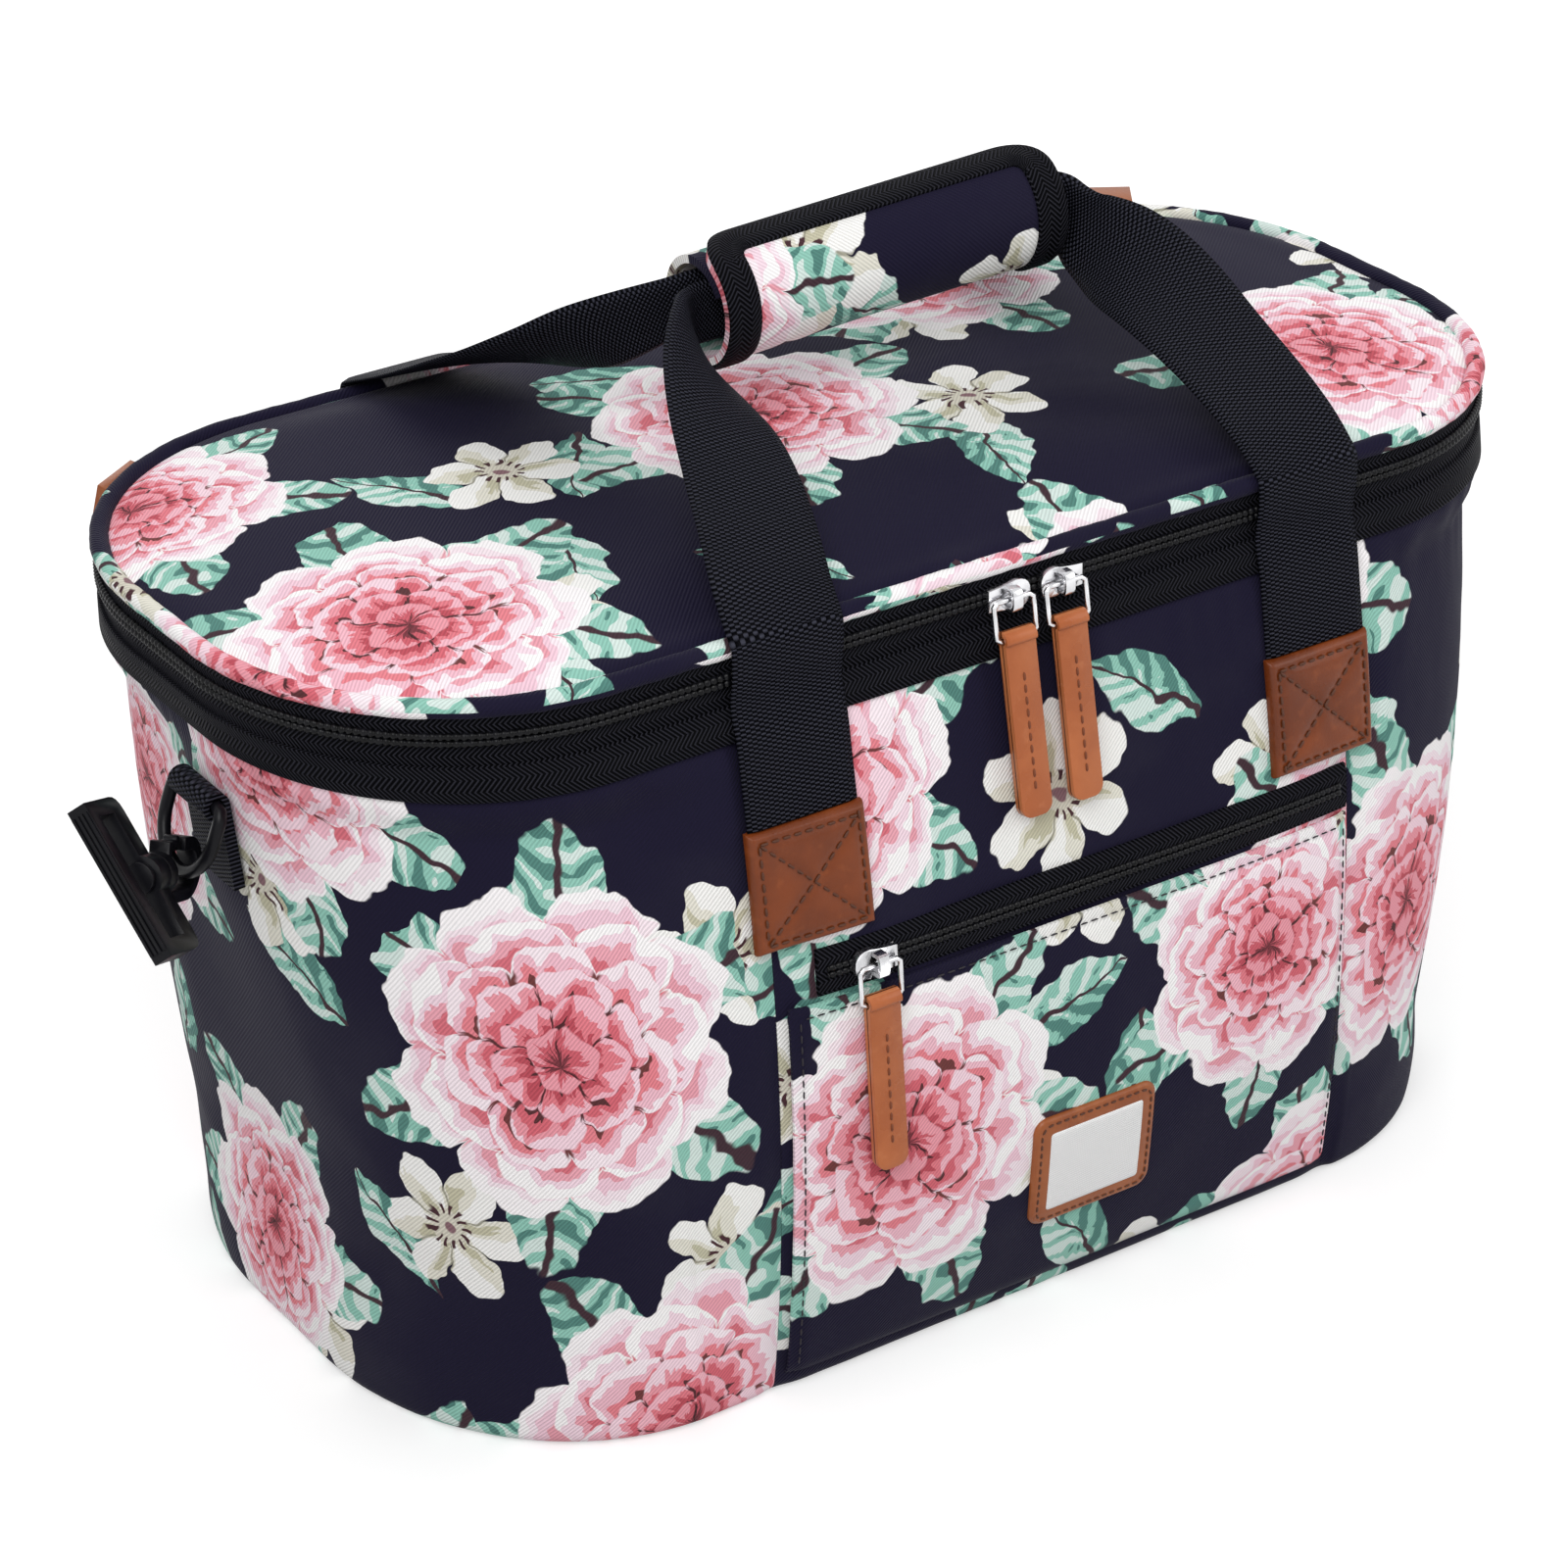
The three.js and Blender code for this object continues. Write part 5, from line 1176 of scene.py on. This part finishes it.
def roundedGrid(wide, tall, corner, count):
    # square grid pressed into a rounded rectangle: local x and z, and the distance to the rim
    a = np.sin(np.linspace(-1, 1, count) * np.pi / 2)
    level = np.maximum(np.abs(a[:, None]), np.abs(a[None, :]))
    places, excess = [], []
    for share, size in ((a[:, None], wide), (a[None, :], tall)):
        place = share * size / 2 + 0 * level
        places.append(place)
        excess.append(np.maximum(np.abs(place) - (size / 2 - corner) * level, 0))
    reach = np.hypot(*excess)
    pull = np.where(reach > corner * level, corner * level / np.maximum(reach, 1e-9), 1.0)
    pressed = []
    for place, past, size in zip(places, excess, (wide, tall)):
        flat = np.minimum(np.abs(place), (size / 2 - corner) * level)
        pressed.append(np.sign(place) * (flat + past * pull))
    return (*pressed, (1 - level) * tall / 2)


def addLabel():
    # leather square with a blank woven square sewn on it
    x, z, gap = roundedGrid(label["wide"], label["tall"], label["corner"], label["count"])
    groove = np.exp(-((gap - label["inset"]) / label["grooveWide"]) ** 2)
    rise = label["rise"] - label["edgeDrop"] * np.exp(-gap / label["edgeRound"]) - label["groove"] * groove
    atX, atZ = label["x"], label["z"]
    local = (-atX, -atZ)
    wallSheet("labelLeather", atX + x, atZ + z, rise, label["back"], "tan", ["label_patch"], cut=local)
    wide, tall = (label[side] - 2 * label["border"] + label["hem"] for side in ("wide", "tall"))
    x, z, gap = roundedGrid(wide, tall, label["wovenCorner"], label["wovenCount"])
    rise = label["wovenRise"] - label["wovenDrop"] * np.exp(-gap / label["wovenRound"])
    wallSheet("labelInsert", atX + x, atZ + z, rise, label["wovenBack"], "label", ["label_insert"], cut=local)
    turn = np.linspace(0, fullTurn, 161)
    corner, sides = label["threadCorner"], []
    for share, size in ((np.cos(turn), label["wide"]), (np.sin(turn), label["tall"])):
        straight = size / 2 - label["inset"] - corner
        sides.append(np.sign(share) * straight * (np.abs(share) > 1e-9) + corner * share)
    runs = [(wallPoint(atX + sides[0], atZ + sides[1], label["threadOut"]), towardsFront)]
    stitchPiece("labelThread", runs, "thread", "bag", 0.0004, length=0.0020, pitch=0.0030)


addPocket()
addPocketZip()
addLabel()
print("pocket sewn")

# pulls: middle of the hinge and lean off upright, in metres and degrees; place of the stitches
pulls = dict(left=(-0.006, -0.11605, 0.246, 10), right=(0.013, -0.11605, 0.246, 10),
             pocket=(-0.066, -0.13286, 0.1503, 4), half=0.0017, firstStitch=0.022, lastStitch=0.060)


def roundedCopy(node, width, look, body, sharpAngle=0.9, origin=(0, 0, 0), along=(0, 0, 1), across=(0, 1, 0)):
    # solid-model node with doubles merged, flats joined and sharp edges rounded by width; its uv is the
    # distance along and across from origin
    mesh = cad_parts[node].data.copy()
    bm = bmesh.new()
    bm.from_mesh(mesh)
    bm.transform(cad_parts[node].matrix_world)
    bmesh.ops.remove_doubles(bm, verts=bm.verts, dist=1e-6)
    bmesh.ops.dissolve_limit(bm, angle_limit=0.02, verts=bm.verts, edges=bm.edges)
    if width:
        sharp = [edge for edge in bm.edges if edge.is_manifold and edge.calc_face_angle(0.0) > sharpAngle]
        bmesh.ops.bevel(bm, geom=sharp, offset=width, segments=2, profile=0.5, affect="EDGES",
                        clamp_overlap=True)
    bmesh.ops.recalc_face_normals(bm, faces=bm.faces)
    bm.to_mesh(mesh)
    bm.free()
    points, corner = np.empty(len(mesh.vertices) * 3), np.empty(len(mesh.loops), np.int32)
    mesh.vertices.foreach_get("co", points)
    mesh.loops.foreach_get("vertex_index", corner)
    uv = (points.reshape(-1, 3)[corner] - origin) @ np.array([along, across]).T
    mesh.uv_layers.new(name="clothUv").data.foreach_set("uv", uv.astype(np.float32).ravel())
    addPiece(node + "Shown", mesh, look, body, [node])
    mesh.set_sharp_from_angle(angle=sharpAngle)


def addPull(hand):
    # folded leather with a row of stitches down the middle of both faces
    *top, lean = pulls[hand]
    aside, up = math.sin(math.radians(lean)), math.cos(math.radians(lean))
    down, out = np.array([0, -aside, -up]), np.array([0, -up, aside])
    roundedCopy(f"{hand}_pull", 0.0008, "pull", f"{hand}_pull", origin=top, along=down, across=out)
    reach = np.linspace(pulls["firstStitch"], pulls["lastStitch"], 20)[:, None]
    runs = [(top + down * reach + side * out * pulls["half"], side * out) for side in (1, -1)]
    stitchPiece(f"{hand}PullThread", runs, "pullThread", f"{hand}_pull", 0.00045)


def addHardware():
    # sliders, rings and pulls of the three zips, then the tabs, rings and snap hooks of both ends
    for hand in ("left", "right", "pocket"):
        roundedCopy(f"{hand}_slider", 0.0005, "metal", f"{hand}_slider")
        roundedCopy(f"{hand}_ring", 0, "metal", f"{hand}_pull", 1.4)
        addPull(hand)
    for hand in ("left", "right"):
        roundedCopy(f"side_tab_{hand}", 0.0004, "webbing", "bag")
        roundedCopy(f"zip_end_tab_{hand}", 0.0006, "tan", "lid")
        roundedCopy(f"d_ring_{hand}", 0, "plastic", f"d_ring_{hand}", 1.2)
        for piece, width in (("hook", 0.0006), ("hook_gate", 0.0004), ("hook_frame", 0.0006)):
            roundedCopy(f"{piece}_{hand}", width, "plastic", f"{piece}_{hand}")


addHardware()
print("hardware rounded")

# studio: light level of the surroundings, white added to the floor that the camera sees near and far, lamps
studio = dict(around=0.50, floor="#c8c8c8", size=6.0, aim=(0, 0, 0.15), lift=(0.50, 0.80),
              liftFrom=(0.45, 1.3),
              lamps=(("keyLamp", (-1.3, -1.5, 2.2), 44, 1.6), ("fillLamp", (1.7, -1.5, 1.4), 17, 1.8),
                     ("backLamp", (0.5, 1.9, 1.9), 18, 1.6)))


def seenDirectly(pen):
    # 1 for rays from the camera, in mirrors and through glass, 0 for the light that falls on the bag
    path = {wire.socket.name: wire for wire in pen.outputs("ShaderNodeLightPath")}
    total = path["Is Camera Ray"]
    for other in ("Is Glossy Ray", "Is Transmission Ray"):
        total = pen.maths("MAXIMUM", total, path[other])
    return total


def addStage():
    # floor and surroundings that look white to the camera, with the bag's own shadow left on the floor
    size = studio["size"]
    mesh = bpy.data.meshes.new("floor")
    corners = [(-size, -size, 0), (size, -size, 0), (size, size, 0), (-size, size, 0)]
    mesh.from_pydata(corners, [], [(0, 1, 2, 3)])
    pen = materialPen("paleFloor")
    near, far = studio["lift"]
    away = pen.rise(pen.vector("LENGTH", pen.place(), out=1), *studio["liftFrom"])
    lift = seenDirectly(pen) * (away * (far - near) + near)
    mesh.materials.append(pen.finish(studio["floor"], 0.95, Specular_IOR_Level=0.0, Emission_Color="#ffffff",
                                     Emission_Strength=lift))
    addObject("floor", mesh)
    scene.world = bpy.data.worlds.new("softWorld")
    pen = NodePen(scene.world)
    seen = seenDirectly(pen)
    level = pen.put("ShaderNodeMapRange", {"Value": seen, "To Min": studio["around"], "To Max": 1.0})
    background = pen.tree.nodes["Background"].inputs
    pen.plug(background["Color"], "#ffffff")
    pen.plug(background["Strength"], level)
    for name, place, power, size in studio["lamps"]:
        data = bpy.data.lights.new(name, "AREA")
        data.energy = power
        data.size = size
        lamp = addObject(name, data)
        lamp.location = place
        lamp.rotation_euler = lookAlong(place, studio["aim"]).to_euler()


scene.view_settings.view_transform = "Standard"
addStage()
print("stage lit")
